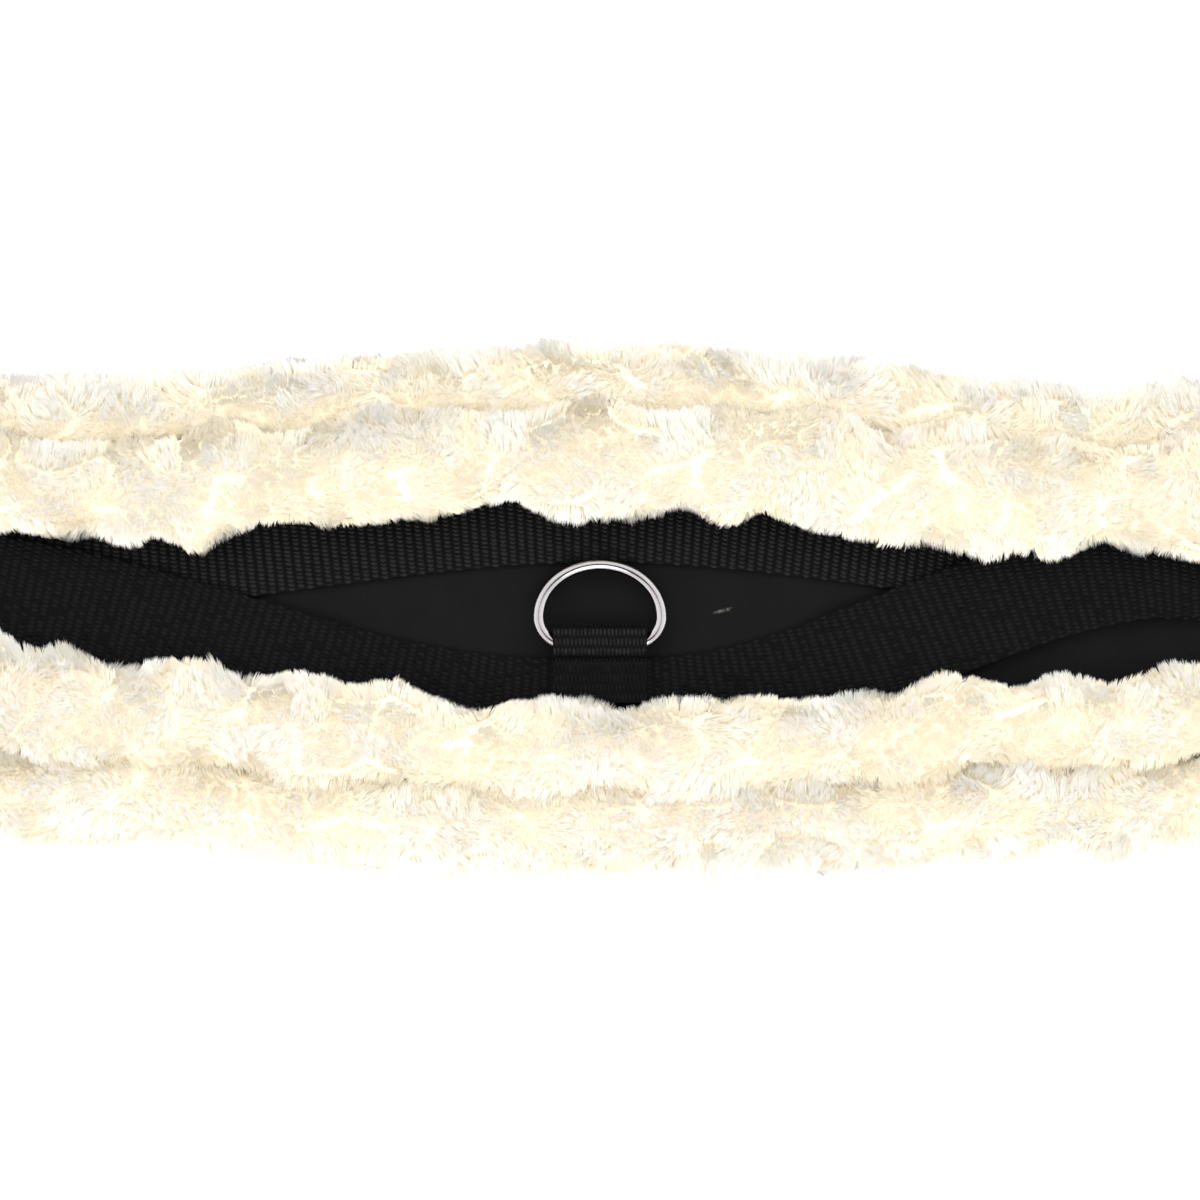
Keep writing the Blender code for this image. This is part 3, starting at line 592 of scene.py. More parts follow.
def fleece_material():
    made = Nodes("fleece_pile", rough=1.0, specular=0.08)
    tint = made.tree.nodes.new("ShaderNodeVertexColor")
    tint.layer_name = "tint"
    made.color(tint.outputs["Color"])
    made.shader.inputs["Sheen Weight"].default_value = 0.15
    made.shader.inputs["Sheen Roughness"].default_value = 0.6
    return made.material


def fleece_backing_material():
    made = Nodes("fleece_backing", rough=1.0, specular=0.05)
    # The skin colour is partly painted shade at the pile's base, where the backing shows between the locks.
    skin = LOCK_COLORS["skin"]
    paler = tuple(1.04 * channel for channel in skin)
    made.color(made.mottled(260, 4, skin, paler))
    made.bump(made.noise(1400, 3), 0.25 * MM)
    return made.material


def webbing_material(name, low, high, specular):
    made = Nodes(name, rough=0.42, specular=specular)
    made.color(made.mottled(900, 3, low, high, end=0.75))
    made.link(made.map_range(made.noise(2500, 2), 0.34, 0.56), made.shader.inputs["Roughness"])
    made.bump(made.noise(6000, 2), 0.05 * MM)
    return made.material


def panel_material():
    """Matte, finely grained, with one small pale scuff."""
    made = Nodes("neoprene_face", rough=0.62, specular=0.08)
    grain = made.noise(5200, 3)
    base = made.mottled(70, 3, (0.0045, 0.0045, 0.0045), (0.0060, 0.0059, 0.0059))
    split = made.tree.nodes.new("ShaderNodeSeparateXYZ")
    made.link(made.place, split.inputs["Vector"])
    streak = made.math("ADD", split.outputs["Y"], made.math("MULTIPLY", split.outputs["X"], -SCUFF_SLOPE))
    streak_off = made.math("ABSOLUTE", made.math("SUBTRACT", streak, SCUFF_OFFSET), 0)
    along_off = made.math("ABSOLUTE", made.math("SUBTRACT", split.outputs["X"], SCUFF_X), 0)
    thin = made.map_range(streak_off, 1, 0, *SCUFF_WIDTH)
    short = made.map_range(along_off, 1, 0, *SCUFF_LENGTH)
    patchy = made.map_range(made.noise(1300, 2), 0, 1, 0.3, 0.75)
    scuff = made.math("MULTIPLY", made.math("MULTIPLY", thin, short), patchy)
    mix = made.tree.nodes.new("ShaderNodeMixRGB")
    mix.inputs["Color2"].default_value = (0.16, 0.155, 0.15, 1)
    made.link(scuff, mix.inputs["Fac"])
    made.link(base, mix.inputs["Color1"])
    made.color(mix.outputs["Color"])
    made.link(made.map_range(grain, 0.55, 0.72), made.shader.inputs["Roughness"])
    made.bump(grain, 0.06 * MM)
    return made.material


def grain_material(name, low, high, scale, rough):
    """Embossed leather-look grain."""
    made = Nodes(name, rough=rough, specular=0.2)
    cells = made.tree.nodes.new("ShaderNodeTexVoronoi")
    cells.feature = "DISTANCE_TO_EDGE"
    cells.inputs["Scale"].default_value = scale
    made.link(made.place, cells.inputs["Vector"])
    pebble = made.map_range(cells.outputs["Distance"], 0, 1, 0.0, 0.35)
    made.color(made.mottled(scale / 6, 3, low, high))
    made.link(made.map_range(pebble, rough + 0.15, rough), made.shader.inputs["Roughness"])
    made.bump(pebble, 0.12 * MM)
    return made.material


def elastic_material():
    made = Nodes("elastic_weave", rough=0.55, specular=0.16)
    made.color(made.mottled(1200, 3, (0.004, 0.004, 0.0045), (0.010, 0.010, 0.012), end=0.75))
    made.bump(made.noise(5200, 2), 0.08 * MM)
    return made.material


def thread_material():
    made = Nodes("sewing_thread", rough=0.45, specular=0.35)
    made.color(made.mottled(3000, 2, (0.012, 0.012, 0.013), (0.030, 0.030, 0.032)))
    made.bump(made.noise(9000, 1), 0.05 * MM)
    return made.material


def metal_material(name, low, high, rough):
    """Polished nickel plating with faint cloudiness and fine handling marks."""
    made = Nodes(name, rough=rough, metallic=1.0)
    made.color(made.mottled(160, 3, low, high))
    made.link(made.map_range(made.noise(700, 4), rough * 0.7, rough * 1.5), made.shader.inputs["Roughness"])
    made.bump(made.noise(2600, 3), 0.01 * MM)
    return made.material


def foam_material():
    made = Nodes("foam_cells", rough=0.95, specular=0.2)
    made.color(made.mottled(1500, 3, (0.62, 0.60, 0.55), (0.78, 0.76, 0.70)))
    made.bump(made.noise(2500, 2), 0.2 * MM)
    return made.material


# ---------------------------------------------------------------- fleece


def edge_side(place):
    return -1 if place == "front" else 1


def arc_table(radii, start, end):
    """Angles along an ellipse with their arc lengths, so that a place can be found by its length."""
    angles = np.radians(np.linspace(start, end, 241))
    steps = np.hypot(np.diff(radii[0] * np.cos(angles)), np.diff(radii[1] * np.sin(angles)))
    return angles, np.concatenate([[0], np.cumsum(steps)])


def bumps(x, table):
    """The sum at x of smooth bumps (place along the girth, reach, height), given in mm."""
    total = np.zeros_like(x)
    for centre, reach, height in table:
        total += height * MM * np.exp(-(((x - centre * MM) / (reach * MM)) ** 2))
    return total


def roll_size(x):
    taper = smoothstep(np.abs(x), ROLL_HALF_LENGTH - ROLL_END_TAPER, ROLL_HALF_LENGTH)
    return 1 + (ROLL_END_SIZE - 1) * taper


def roll_shape(place, x, angle, inset=0.0):
    """Points and outward directions of a roll. The angle is 0 at the inner edge and 90 degrees on top."""
    side = edge_side(place)
    size = roll_size(x)
    half = ROLL_HALF_WIDTH * size - inset
    high = ROLL_HALF_HEIGHT * size - inset
    inner = np.cos(np.clip(angle, -np.pi, np.pi) / 2) ** 4
    outer = np.sin(angle / 2) ** 4
    edge = EDGE_SHIFT[place] + bumps(x, EDGE_DENTS[place])
    wander = sum(wave * np.sin(2 * np.pi * (x / length + 0.3 * side)) for wave, length in ROLL_WANDER)
    centre = band_half_width(x) + ROLL_HALF_WIDTH + ROLL_CLEARANCE + edge * inner + wander * outer
    y = side * (centre - half * np.cos(angle))
    z = np.maximum(ROLL_CENTRE_Z + high * np.sin(angle), ROLL_LOWEST + inset * 0.2)
    out = unit(np.stack([np.zeros_like(y), -side * np.cos(angle) / half, np.sin(angle) / high], axis=-1))
    return np.stack([x, y, z], axis=-1), out


def dome_radii():
    return ROLL_HALF_WIDTH * ROLL_END_SIZE + ROLL_DOME_LIP, ROLL_HALF_HEIGHT * ROLL_END_SIZE + ROLL_DOME_LIP


def dome_shape(place, end_side, a, b):
    """The end of a roll, as a shallow dome. a runs across it and b up it, both from its middle."""
    wide, high = dome_radii()
    u, v = np.clip(a / wide, -1, 1), np.clip(b / high, -1, 1)
    across, up = u * np.sqrt(1 - v**2 / 2), v * np.sqrt(1 - u**2 / 2)
    bulge = np.sqrt(np.clip(1 - across**2 - up**2, 0, 1))
    middle = edge_side(place) * (band_half_width(ROLL_HALF_LENGTH) + ROLL_HALF_WIDTH + ROLL_CLEARANCE)
    x = end_side * (ROLL_HALF_LENGTH + ROLL_DOME * bulge)
    points = np.stack([x, middle + wide * across, ROLL_CENTRE_Z + high * up], axis=-1)
    return points, unit(np.stack([end_side * (0.4 + bulge), across, up], axis=-1))


def rim_shape(place, x, angle, inset=0.0):
    """The pile along the pad's edge. The angle is 0 at its outer side and 90 degrees on top."""
    side = edge_side(place)
    fall = smoothstep(np.abs(x), *RIM_FALL)
    high = (RIM_PILE_HEIGHT[place] + (RIM_PILE_END_HEIGHT - RIM_PILE_HEIGHT[place]) * fall) / 2
    reach = (RIM_PILE_REACH[place] + bumps(x, OUTLINE_SWELLS[place])) * (1 - fall)
    wide = RIM_HALF_WIDTH + RIM_PILE_OVERLAP * (1 - fall)
    y = side * (half_width(x) + reach - wide + (wide - inset) * np.cos(angle))
    z = high + (high - inset) * np.sin(angle)
    out = unit(np.stack([np.zeros_like(y), side * np.cos(angle) / wide, np.sin(angle) / high], axis=-1))
    return np.stack([x, y, z], axis=-1), out


def end_shape(side, a, b):
    """The lining's end. a runs across it and b up it."""
    start, width, depth = END_CORNER
    fall = np.clip((np.abs(a) - start) / width, 0, 1)
    points = np.stack([side * (PAD_HALF_LENGTH - depth * fall**2), a, b], axis=-1)
    return points, unit(np.stack([np.full_like(a, side), np.sign(a) * fall, 0 * a], axis=-1))


def underside_shape(a, b):
    across = (b / UNDERSIDE_REACH - 1) * (half_width(a) - RIM_HALF_WIDTH)
    points = np.stack([a, across, np.zeros_like(a)], axis=-1)
    return points, np.tile([0.0, 0.0, -1.0], (len(a), 1))


def one_zone(kind, half_length):
    return [(-half_length, half_length, PILE_DENSITY[kind], LOCK_WIDTH * PILE_COARSENESS[kind])]


def three_zones(kind, half_length):
    """Dense pile over the girth's middle, and half as dense with coarser locks towards both ends."""
    density, end_width = PILE_DENSITY[kind], LOCK_WIDTH * PILE_COARSENESS[kind]
    return [
        (-half_length, -DENSE_HALF_LENGTH, density / 2, end_width),
        (-DENSE_HALF_LENGTH, DENSE_HALF_LENGTH, density, LOCK_WIDTH),
        (DENSE_HALF_LENGTH, half_length, density / 2, end_width),
    ]


def roll_patch(place):
    angles, lengths = arc_table((ROLL_HALF_WIDTH, ROLL_HALF_HEIGHT), *ROLL_PILE_ARC)
    return {
        "name": f"pile_roll_{place}",
        "surface": lambda a, b: roll_shape(place, a, np.interp(b, lengths, angles)),
        "length": lengths[-1],
        "valley": np.interp(np.radians(VALLEY_ANGLE["roll"]), angles, lengths),
        "zones": three_zones("roll", ROLL_HALF_LENGTH),
        "depth": PILE_DEPTH,
        "floor": ROLL_LOWEST,
        "swell": 1.0,
        "seed": {"rear": 100, "front": 200}[place],
    }


def dome_patch(place, name, end_side):
    wide, high = dome_radii()
    return {
        "name": f"pile_dome_{name}_{place}",
        "surface": lambda a, b: dome_shape(place, end_side, a, b - high),
        "length": 2 * high,
        "zones": one_zone("dome", wide),
        "depth": DOME_PILE_DEPTH,
        "floor": ROLL_LOWEST,
        "swell": 1.0,
        "seed": {"rear": 700, "front": 800}[place],
    }


def rim_patch(place):
    radii = (RIM_HALF_WIDTH + RIM_PILE_OVERLAP, RIM_PILE_HEIGHT[place] / 2)
    angles, lengths = arc_table(radii, *RIM_PILE_ARC)
    return {
        "name": f"pile_rim_{place}",
        "surface": lambda a, b: rim_shape(place, a, np.interp(b, lengths, angles)),
        "length": lengths[-1],
        "valley": np.interp(np.radians(VALLEY_ANGLE["rim"]), angles, lengths),
        "zones": three_zones("rim", PAD_HALF_LENGTH - PILE_MARGIN["rim"]),
        "depth": PILE_DEPTH,
        "floor": 0.1 * MM,
        "swell": 1.2,
        "seed": {"rear": 300, "front": 400}[place],
    }


def underside_patch():
    return {
        "name": "pile_underside",
        "surface": underside_shape,
        "length": 2 * UNDERSIDE_REACH,
        "zones": one_zone("underside", PAD_HALF_LENGTH - PILE_MARGIN["underside"]),
        "depth": UNDERSIDE_PILE_DEPTH,
        "floor": 0.1 * MM,
        "swell": 0.0,
        "seed": 500,
    }


def end_patch(name, side):
    return {
        "name": f"pile_end_{name}",
        "surface": lambda a, b: end_shape(side, a, b),
        "length": END_PILE_HEIGHT,
        "zones": one_zone("end", END_PILE_HALF_WIDTH),
        "depth": PILE_DEPTH,
        "floor": 0.3 * MM,
        "swell": 0.0,
        "seed": 600,
    }


def grid_random(seed, kinds):
    return np.random.default_rng(seed).random((NOISE_TABLE, NOISE_TABLE, kinds))


def smooth_noise(a, b, cell, seed):
    """Smooth noise from -1 to 1 over a plane."""
    table = grid_random(seed, 1)[..., 0] * 2 - 1
    column, row = np.floor(a / cell), np.floor(b / cell)
    share_a = smoothstep(a / cell - column, 0, 1)
    share_b = smoothstep(b / cell - row, 0, 1)
    i, j = column.astype(int) % NOISE_TABLE, row.astype(int) % NOISE_TABLE
    i2, j2 = (i + 1) % NOISE_TABLE, (j + 1) % NOISE_TABLE
    low = table[i, j] * (1 - share_a) + table[i2, j] * share_a
    high = table[i, j2] * (1 - share_a) + table[i2, j2] * share_a
    return low * (1 - share_b) + high * share_b


def nearest_clump(a, b, cell, seed):
    """The nearest point of a jittered grid: its centre, how far it is, and its own random numbers."""
    table = grid_random(seed, 7)
    column, row = np.floor(a / cell).astype(int), np.floor(b / cell).astype(int)
    best = np.full(a.shape, np.inf)
    centre_a, centre_b = np.zeros_like(a), np.zeros_like(b)
    own = np.zeros((*a.shape, 5))
    for step_a in (-1, 0, 1):
        for step_b in (-1, 0, 1):
            i, j = column + step_a, row + step_b
            values = table[i % NOISE_TABLE, j % NOISE_TABLE]
            at_a = (i + values[..., 0]) * cell
            at_b = (j + values[..., 1]) * cell
            away = np.hypot(a - at_a, b - at_b)
            nearer = away < best
            best = np.where(nearer, away, best)
            centre_a = np.where(nearer, at_a, centre_a)
            centre_b = np.where(nearer, at_b, centre_b)
            own = np.where(nearer[..., None], values[..., 2:], own)
    return centre_a, centre_b, best, own


def pile_height(a, b, seed):
    """How far the pile stands over its surface: soft round puffs with creases between."""
    _, _, away, own = nearest_clump(a, b, PUFF_SIZE, seed + 3)
    puff = 1 - np.clip(away / (0.7 * PUFF_SIZE), 0, 1.2) ** 2
    wave, wavelength = PUFF_WAVE
    height = PUFF_HEIGHT * (puff * (0.5 + own[..., 0]) - 0.5)
    return np.maximum(height + wave * smooth_noise(a, b, wavelength, seed + 4), LOWEST_CREASE)


def lock_places(a_range, b_length, density, rng):
    """A jittered grid of places on the pile's plane."""
    across = max(int((a_range[1] - a_range[0]) * math.sqrt(density)), 2)
    around = max(int(b_length * math.sqrt(density)), 2)
    i, j = np.meshgrid(np.arange(across), np.arange(around), indexing="ij")
    a = a_range[0] + (a_range[1] - a_range[0]) * (i + rng.random(i.shape)) / across
    b = b_length * (j + rng.random(j.shape)) / around
    return a.ravel(), b.ravel()


def shaded_up(normals):
    """Normals leant upwards, except underneath."""
    lifted = normals.copy()
    lifted[..., 2] += PILE_GLOW * np.clip(1 + 2 * normals[..., 2], 0, 1)
    return unit(lifted)


def lock_tints(small, height, valley, seed, a, b, rng):
    """Colors (locks, 3 rings, 3): each lock's root, middle and tip."""
    count = len(a)
    warm = 0.5 + 0.5 * smooth_noise(a, b, WARM_BAY, seed + 8)
    pink = np.clip(smooth_noise(a, b, PINK_BAY, seed + 9) * 1.6, 0, 1)
    parts = ("root", "middle", "tip", "shade", "painted_crease_shade")
    root, middle, tip, shade, painted_shade_color = (np.tile(LOCK_COLORS[part], (count, 1)) for part in parts)
    root += (shade - root) * (0.7 * pink)[:, None]
    middle += (shade - middle) * (0.35 * pink)[:, None]
    tip += (middle - tip) * np.clip(0.05 + 1.3 * warm**2 * small[:, 0] ** 2, 0, 1)[:, None]
    # Painted shade: locks low in creases and near the valley take on the warm crease colour.
    painted_crease_shade = np.clip(0.3 + height / LOWEST_CREASE + valley * (0.6 + 0.6 * warm), 0, 1)[:, None]
    middle += (painted_shade_color - middle) * painted_crease_shade * 0.8
    tip += (painted_shade_color - tip) * painted_crease_shade * 0.6
    light = 0.99 + 0.03 * (small[:, 1] - 0.5) + 0.03 * (rng.random(count) - 0.5)
    return np.clip(np.stack([root, middle, tip], axis=1) * light[:, None, None], 0, 1)


def lock_uvs(count):
    """Each lock's own cell of the bake's map."""
    columns = math.ceil(math.sqrt(count))
    cell = 1 / columns
    corner = np.stack([np.arange(count) % columns, np.arange(count) // columns], axis=-1) * cell
    third = (0.1 + 0.8 * np.arange(4) / 3) * cell
    rows = np.array([0.1, 0.5, 0.9]) * cell
    walls, tips = [], []
    for left, right in zip(third, third[1:]):
        walls.append([(left, rows[0]), (right, rows[0]), (right, rows[1])])
        walls.append([(left, rows[0]), (right, rows[1]), (left, rows[1])])
        tips.append([(left, rows[1]), (right, rows[1]), ((left + right) / 2, rows[2])])
    cap = [(third[2], rows[0]), (third[1], rows[0]), (third[0], rows[0])]
    offsets = np.array(walls + tips + [cap])
    return (corner[:, None, None, :] + offsets[None]).reshape(-1, 2)


def lock_faces(count):
    """The 10 triangles of each lock: points 0 to 2 at its root, 3 to 5 at its middle, 6 at its tip."""
    walls = []
    for k in range(3):
        after = (k + 1) % 3
        walls += [(k, after, 3 + after), (k, 3 + after, 3 + k)]
    faces = np.array(walls + [(3, 4, 6), (4, 5, 6), (5, 3, 6), (2, 1, 0)])
    return ((np.arange(count) * 7)[:, None, None] + faces[None]).reshape(-1, 3)


def lock_lean(patch, a, b, small, rng):
    """Shares of the pile's depth by which each tip leans along the patch and across it."""
    seed = patch["seed"]
    bay_lean, bay_size = BAY_LEAN
    _, _, _, large = nearest_clump(a, b, TUFT_SIZE, seed + 2)
    leans = [
        bay_lean * smooth_noise(a, b, bay_size, seed + 5 + k)
        + SMALL_LEAN * (small[:, 1 + k] - 0.5)
        + TUFT_LEAN * (large[:, 1 + k] - 0.5)
        + LOCK_LEAN * (rng.random(len(a)) - 0.5)
        for k in (0, 1)
    ]
    return np.stack(leans, axis=-1)


def lock_routes(patch, a, b, width, height, rng):
    """Each lock's root, middle and tip, its outward direction, and its clump's random numbers."""
    count = len(a)
    depth, floor, surface = patch["depth"], patch["floor"], patch["surface"]
    outer, normal = surface(a, b)
    step = 0.3 * MM
    along_a = unit(surface(a + step, b)[0] - outer)
    along_b = unit(surface(a, b + step)[0] - outer)
    centre_a, centre_b, _, small = nearest_clump(a, b, CLUMP_SIZE, patch["seed"] + 1)
    lean = lock_lean(patch, a, b, small, rng)
    sway = (along_a * lean[:, :1] + along_b * lean[:, 1:]) * depth
    clump_uneven, lock_uneven = LOCK_UNEVEN
    uneven = clump_uneven * (small[:, 3] - 0.5) + lock_uneven * (rng.random(count) - 0.75)
    lift = (height + uneven)[:, None]
    root = outer - normal * depth
    tip = outer + normal * lift + sway
    gather_point, gather_normal = surface(centre_a, np.clip(centre_b, 0, patch["length"]))
    pull = (CLUMP_PULL * (0.6 + 0.8 * rng.random(count)))[:, None]
    tip += (gather_point + gather_normal * lift + sway - tip) * pull
    tip[:, 2] = np.maximum(tip[:, 2], floor)
    root[:, 2] = np.maximum(root[:, 2], floor + width)
    middle = root + (tip - root) * 0.55 + normal * (depth * 0.13)
    middle[:, 2] = np.maximum(middle[:, 2], floor + width * 0.6)
    return (root, middle, tip), normal, small


def lock_walls(route, normal, width, rng):
    """The 7 points of each lock, and the directions that its shading takes there."""
    root, middle, tip = route
    count = len(root)
    along = unit(tip - root)
    across = unit(np.cross(along, unit(rng.random((count, 3)) - 0.5)))
    square = np.cross(along, across)
    size = width * (0.75 + 0.5 * rng.random(count))[:, None]
    points = np.empty((count, 7, 3))
    shading = np.empty((count, 7, 3))
    soft = shaded_up(normal) * PILE_SOFTNESS + along * 0.08
    for k, angle in enumerate(2 * np.pi * np.arange(3) / 3):
        around = across * np.cos(angle) + square * np.sin(angle)
        points[:, k] = root + around * size
        points[:, 3 + k] = middle + around * size * 0.85
        shading[:, k] = shading[:, 3 + k] = soft + around * (1 - PILE_SOFTNESS)
    points[:, 6] = tip
    shading[:, 6] = soft
    return points.reshape(-1, 3), unit(shading.reshape(-1, 3))


def grow_locks(name, patch, a, b, width, rng, material):
    """One piece of pile: a closed, bent, tapered lock of wool for each place (a, b) of the patch."""
    seed = patch["seed"]
    height = pile_height(a, b, seed) * patch["swell"] - PILE_SUNK
    route, normal, small = lock_routes(patch, a, b, width, height, rng)
    points, shading = lock_walls(route, normal, width, rng)
    # valley: how strongly the warm painted shade of the valley between roll and rim reaches each lock
    valley = np.exp(-(((b - patch["valley"]) / VALLEY_REACH) ** 2)) if "valley" in patch else 0 * b
    tints = lock_tints(small[:, 3:], height, valley, seed, a, b, rng)
    obj = new_object(
        name,
        points,
        [lock_faces(len(a))],
        material,
        colors=tints[:, [0, 0, 0, 1, 1, 1, 2]].reshape(-1, 3),
        uvs=lock_uvs(len(a)),
        normals=shading,
    )
    obj.visible_shadow = False  # light passes through the fine wool
    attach(obj, "root")


def grow_patch(patch, material):
    """Pile over one surface. Its zones are (from, to, locks per square mm, lock radius) along it."""
    rng = np.random.default_rng(patch["seed"] + 50)
    number = 0
    for start, end, density, width in patch["zones"]:
        area = (end - start) * patch["length"]
        pieces = math.ceil(area * density / MM**2 / MOST_LOCKS)
        cuts = np.linspace(start, end, pieces + 1)
        for low, high in zip(cuts, cuts[1:]):
            number += 1
            a, b = lock_places((low, high), patch["length"], density / MM**2, rng)
            grow_locks(f"{patch['name']}_{number}", patch, a, b, width, rng, material)


def finish_backing(backing, node):
    mesh = backing.data
    normals = np.empty(len(mesh.vertices) * 3, np.float32)
    mesh.vertices.foreach_get("normal", normals)
    set_normals(mesh, shaded_up(normals.reshape(-1, 3)))
    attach(backing, "root")
    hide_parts(node)


def make_rolls(materials):
    covered = ROLL_HALF_LENGTH + 0.8 * MM
    x = np.linspace(-covered, covered, 274)
    angle = np.linspace(-np.pi, np.pi, 36, endpoint=False)
    grid_x, grid_angle = np.meshgrid(x, angle, indexing="ij")
    for place in ("rear", "front"):
        points, _ = roll_shape(place, grid_x, grid_angle, BACKING_INSET)
        if place == "front":
            points = points[:, ::-1]
        backing = ring_loft(f"fleece_roll_{place}", points, materials["backing"])
        finish_backing(backing, f"edge_roll_{place}")
        patches = [roll_patch(place), dome_patch(place, "left", -1), dome_patch(place, "right", 1)]
        for patch in patches:
            grow_patch(patch, materials["fleece"])


def lining_rings():
    """The lining as a closed shell: rim, underside, rim, and the floor that carries the foam."""
    x = np.linspace(-PAD_HALF_LENGTH + BACKING_INSET, PAD_HALF_LENGTH - BACKING_INSET, 201)
    angle = np.radians(np.linspace(-90, 160, 21))
    grid_x, grid_angle = np.meshgrid(x, angle, indexing="ij")
    rear, _ = rim_shape("rear", grid_x, grid_angle, BACKING_INSET)
    front, _ = rim_shape("front", grid_x, grid_angle, BACKING_INSET)
    floor_rear, floor_front = rear[:, -1:].copy(), front[:, -1:].copy()
    for floor in (floor_rear, floor_front):
        floor[..., 2] = LINING_FLOOR - 0.2 * MM
    return np.concatenate([rear, floor_rear, floor_front, front[:, ::-1]], axis=1)


def make_lining(materials):
    backing = ring_loft("fleece_lining_backing", lining_rings()[:, ::-1], materials["backing"])
    finish_backing(backing, "fleece_lining")
    patches = [rim_patch("rear"), rim_patch("front"), underside_patch()]
    for patch in patches + [end_patch("left", -1), end_patch("right", 1)]:
        grow_patch(patch, materials["fleece"])


# ---------------------------------------------------------------- webbing


def rounded(half, edge, thin=0.35):
    """A strip's share of its full thickness at w, smaller along both edges."""

    def share(w):
        into = np.clip((np.abs(w) - (half - edge)) / edge, 0, 1)
        return thin + (1 - thin) * np.sqrt(1 - into**2 * 0.999)

    return share


def stitch_pillows(strip, columns, pitch, start, base, rise, slant, fill, seed):
    """Points and faces of small woven stitches, one for each column and row of the weave.

    The pitch and fill are (along the strip, across it). Odd columns stand half a row over.
    """
    rng = np.random.default_rng(seed)
    column_pitch, row_pitch = pitch
    i, j = np.meshgrid(np.arange(columns), np.arange(WEAVE_ROWS), indexing="ij")
    i, j = i.ravel(), j.ravel()
    shift = np.where(i % 2 == 0, 0.0, 0.5)
    s = start + (i + 0.5) * column_pitch
    w = (j + shift - (WEAVE_ROWS - 0.5) / 2) * row_pitch
    w = w + 0.06 * row_pitch * (rng.random(len(i)) - 0.5) * 2
    grid = np.array([(u, v) for u in (-1, 0, 1) for v in (-1, 0, 1)], float)
    crown = np.array([0.0, 0.35, 0.0, 0.35, 1.0, 0.35, 0.0, 0.35, 0.0])
    pinch = np.where(np.abs(grid).sum(1) == 2, 0.72, 1.0)
    half_s = column_pitch / 2 * fill[0] * (0.94 + 0.12 * rng.random(len(i)))
    half_w = row_pitch / 2 * fill[1]
    local_s = grid[None, :, 0] * pinch * half_s[:, None]
    local_w = grid[None, :, 1] * pinch * half_w + local_s * slant
    height = base + crown[None] * rise * (0.8 + 0.4 * rng.random(len(i)))[:, None]
    points = strip.place(s[:, None] + local_s, w[:, None] + local_w, height)
    tops = []
    for u in (0, 1):
        for v in (0, 1):
            corner = 3 * u + v
            tops += [(corner, corner + 3, corner + 4), (corner, corner + 4, corner + 1)]
    first = (np.arange(len(i)) * 9)[:, None]
    triangles = (first[:, :, None] + np.array(tops)[None]).reshape(-1, 3)
    bottoms = first + np.array([[0, 1, 2, 5, 8, 7, 6, 3]])
    return points.reshape(-1, 3), [triangles, bottoms]


def planar_uvs(obj):
    """A bake map by position, with upward faces in one half and the others in the other half."""
    mesh = obj.data
    count = len(mesh.loops)
    corners = np.empty(count, np.int32)
    mesh.loops.foreach_get("vertex_index", corners)
    points = np.empty(len(mesh.vertices) * 3, np.float32)
    mesh.vertices.foreach_get("co", points)
    points = points.reshape(-1, 3)[corners][:, :2]
    low, high = points.min(0), points.max(0)
    uvs = (points - low) / (high - low) * np.array([0.98, 0.47]) + 0.01
    normals = np.empty(len(mesh.polygons) * 3, np.float32)
    mesh.polygons.foreach_get("normal", normals)
    sizes = np.empty(len(mesh.polygons), np.int32)
    mesh.polygons.foreach_get("loop_total", sizes)
    downward = np.repeat(normals.reshape(-1, 3)[:, 2] < 0, sizes)
    uvs[:, 1] += 0.5 * downward
    layer = mesh.uv_layers.new(name="OFBake")
    layer.data.foreach_set("uv", uvs.astype(np.float32).ravel())


def joined(name, parts, replaced, body):
    """One piece from several objects."""
    for obj in bpy.context.selected_objects:
        obj.select_set(False)
    for obj in parts:
        obj.select_set(True)
    bpy.context.view_layer.objects.active = parts[0]
    bpy.ops.object.join()
    whole = bpy.context.view_layer.objects.active
    whole.name = name
    whole.data.name = name
    whole.select_set(False)
    if body:
        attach(whole, body)
    if replaced:
        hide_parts(*replaced)
    return whole


def make_tape(name, route_y, route_z, material, ground, seed):
    x = np.linspace(-WEBBING_HALF_LENGTH, WEBBING_HALF_LENGTH, TAPE_STATIONS)
    strip = Strip(np.stack([x, route_y(x), route_z(x)], axis=-1))
    columns = int(strip.total / WEAVE_COLUMN)
    start = (strip.total - columns * WEAVE_COLUMN) / 2
    share = rounded(WEBBING_WIDTH / 2, TAPE_EDGE)
    ground_top = WEBBING_THICKNESS / 2 - WEAVE_RISE

    def ridge(s):
        return WEAVE_RIDGE * np.cos(2 * np.pi * (s - start) / WEAVE_COLUMN)

    base = slab(
        name + "_base",
        strip.place,
        np.arange(0, columns * 4 + 1) * WEAVE_COLUMN / 4 + start,
        np.array(TAPE_ACROSS) * MM,
        lambda s, w: -WEBBING_THICKNESS / 2 * share(w),
        lambda s, w: ground_top * share(w) - ridge(s),
        ground,
    )
    points, faces = stitch_pillows(
        strip,
        columns,
        (WEAVE_COLUMN, WEAVE_ROW),
        start,
        ground_top - WEAVE_SUNK,
        WEAVE_RISE + WEAVE_SUNK,
        WEAVE_SLANT,
        WEAVE_FILL,
        seed,
    )
    stitches = new_object(name + "_stitches", points, faces, material, STITCH_SHARP)
    planar_uvs(joined(name + "_weave", [base, stitches], [name], "root"))


# ---------------------------------------------------------------- ring and tab


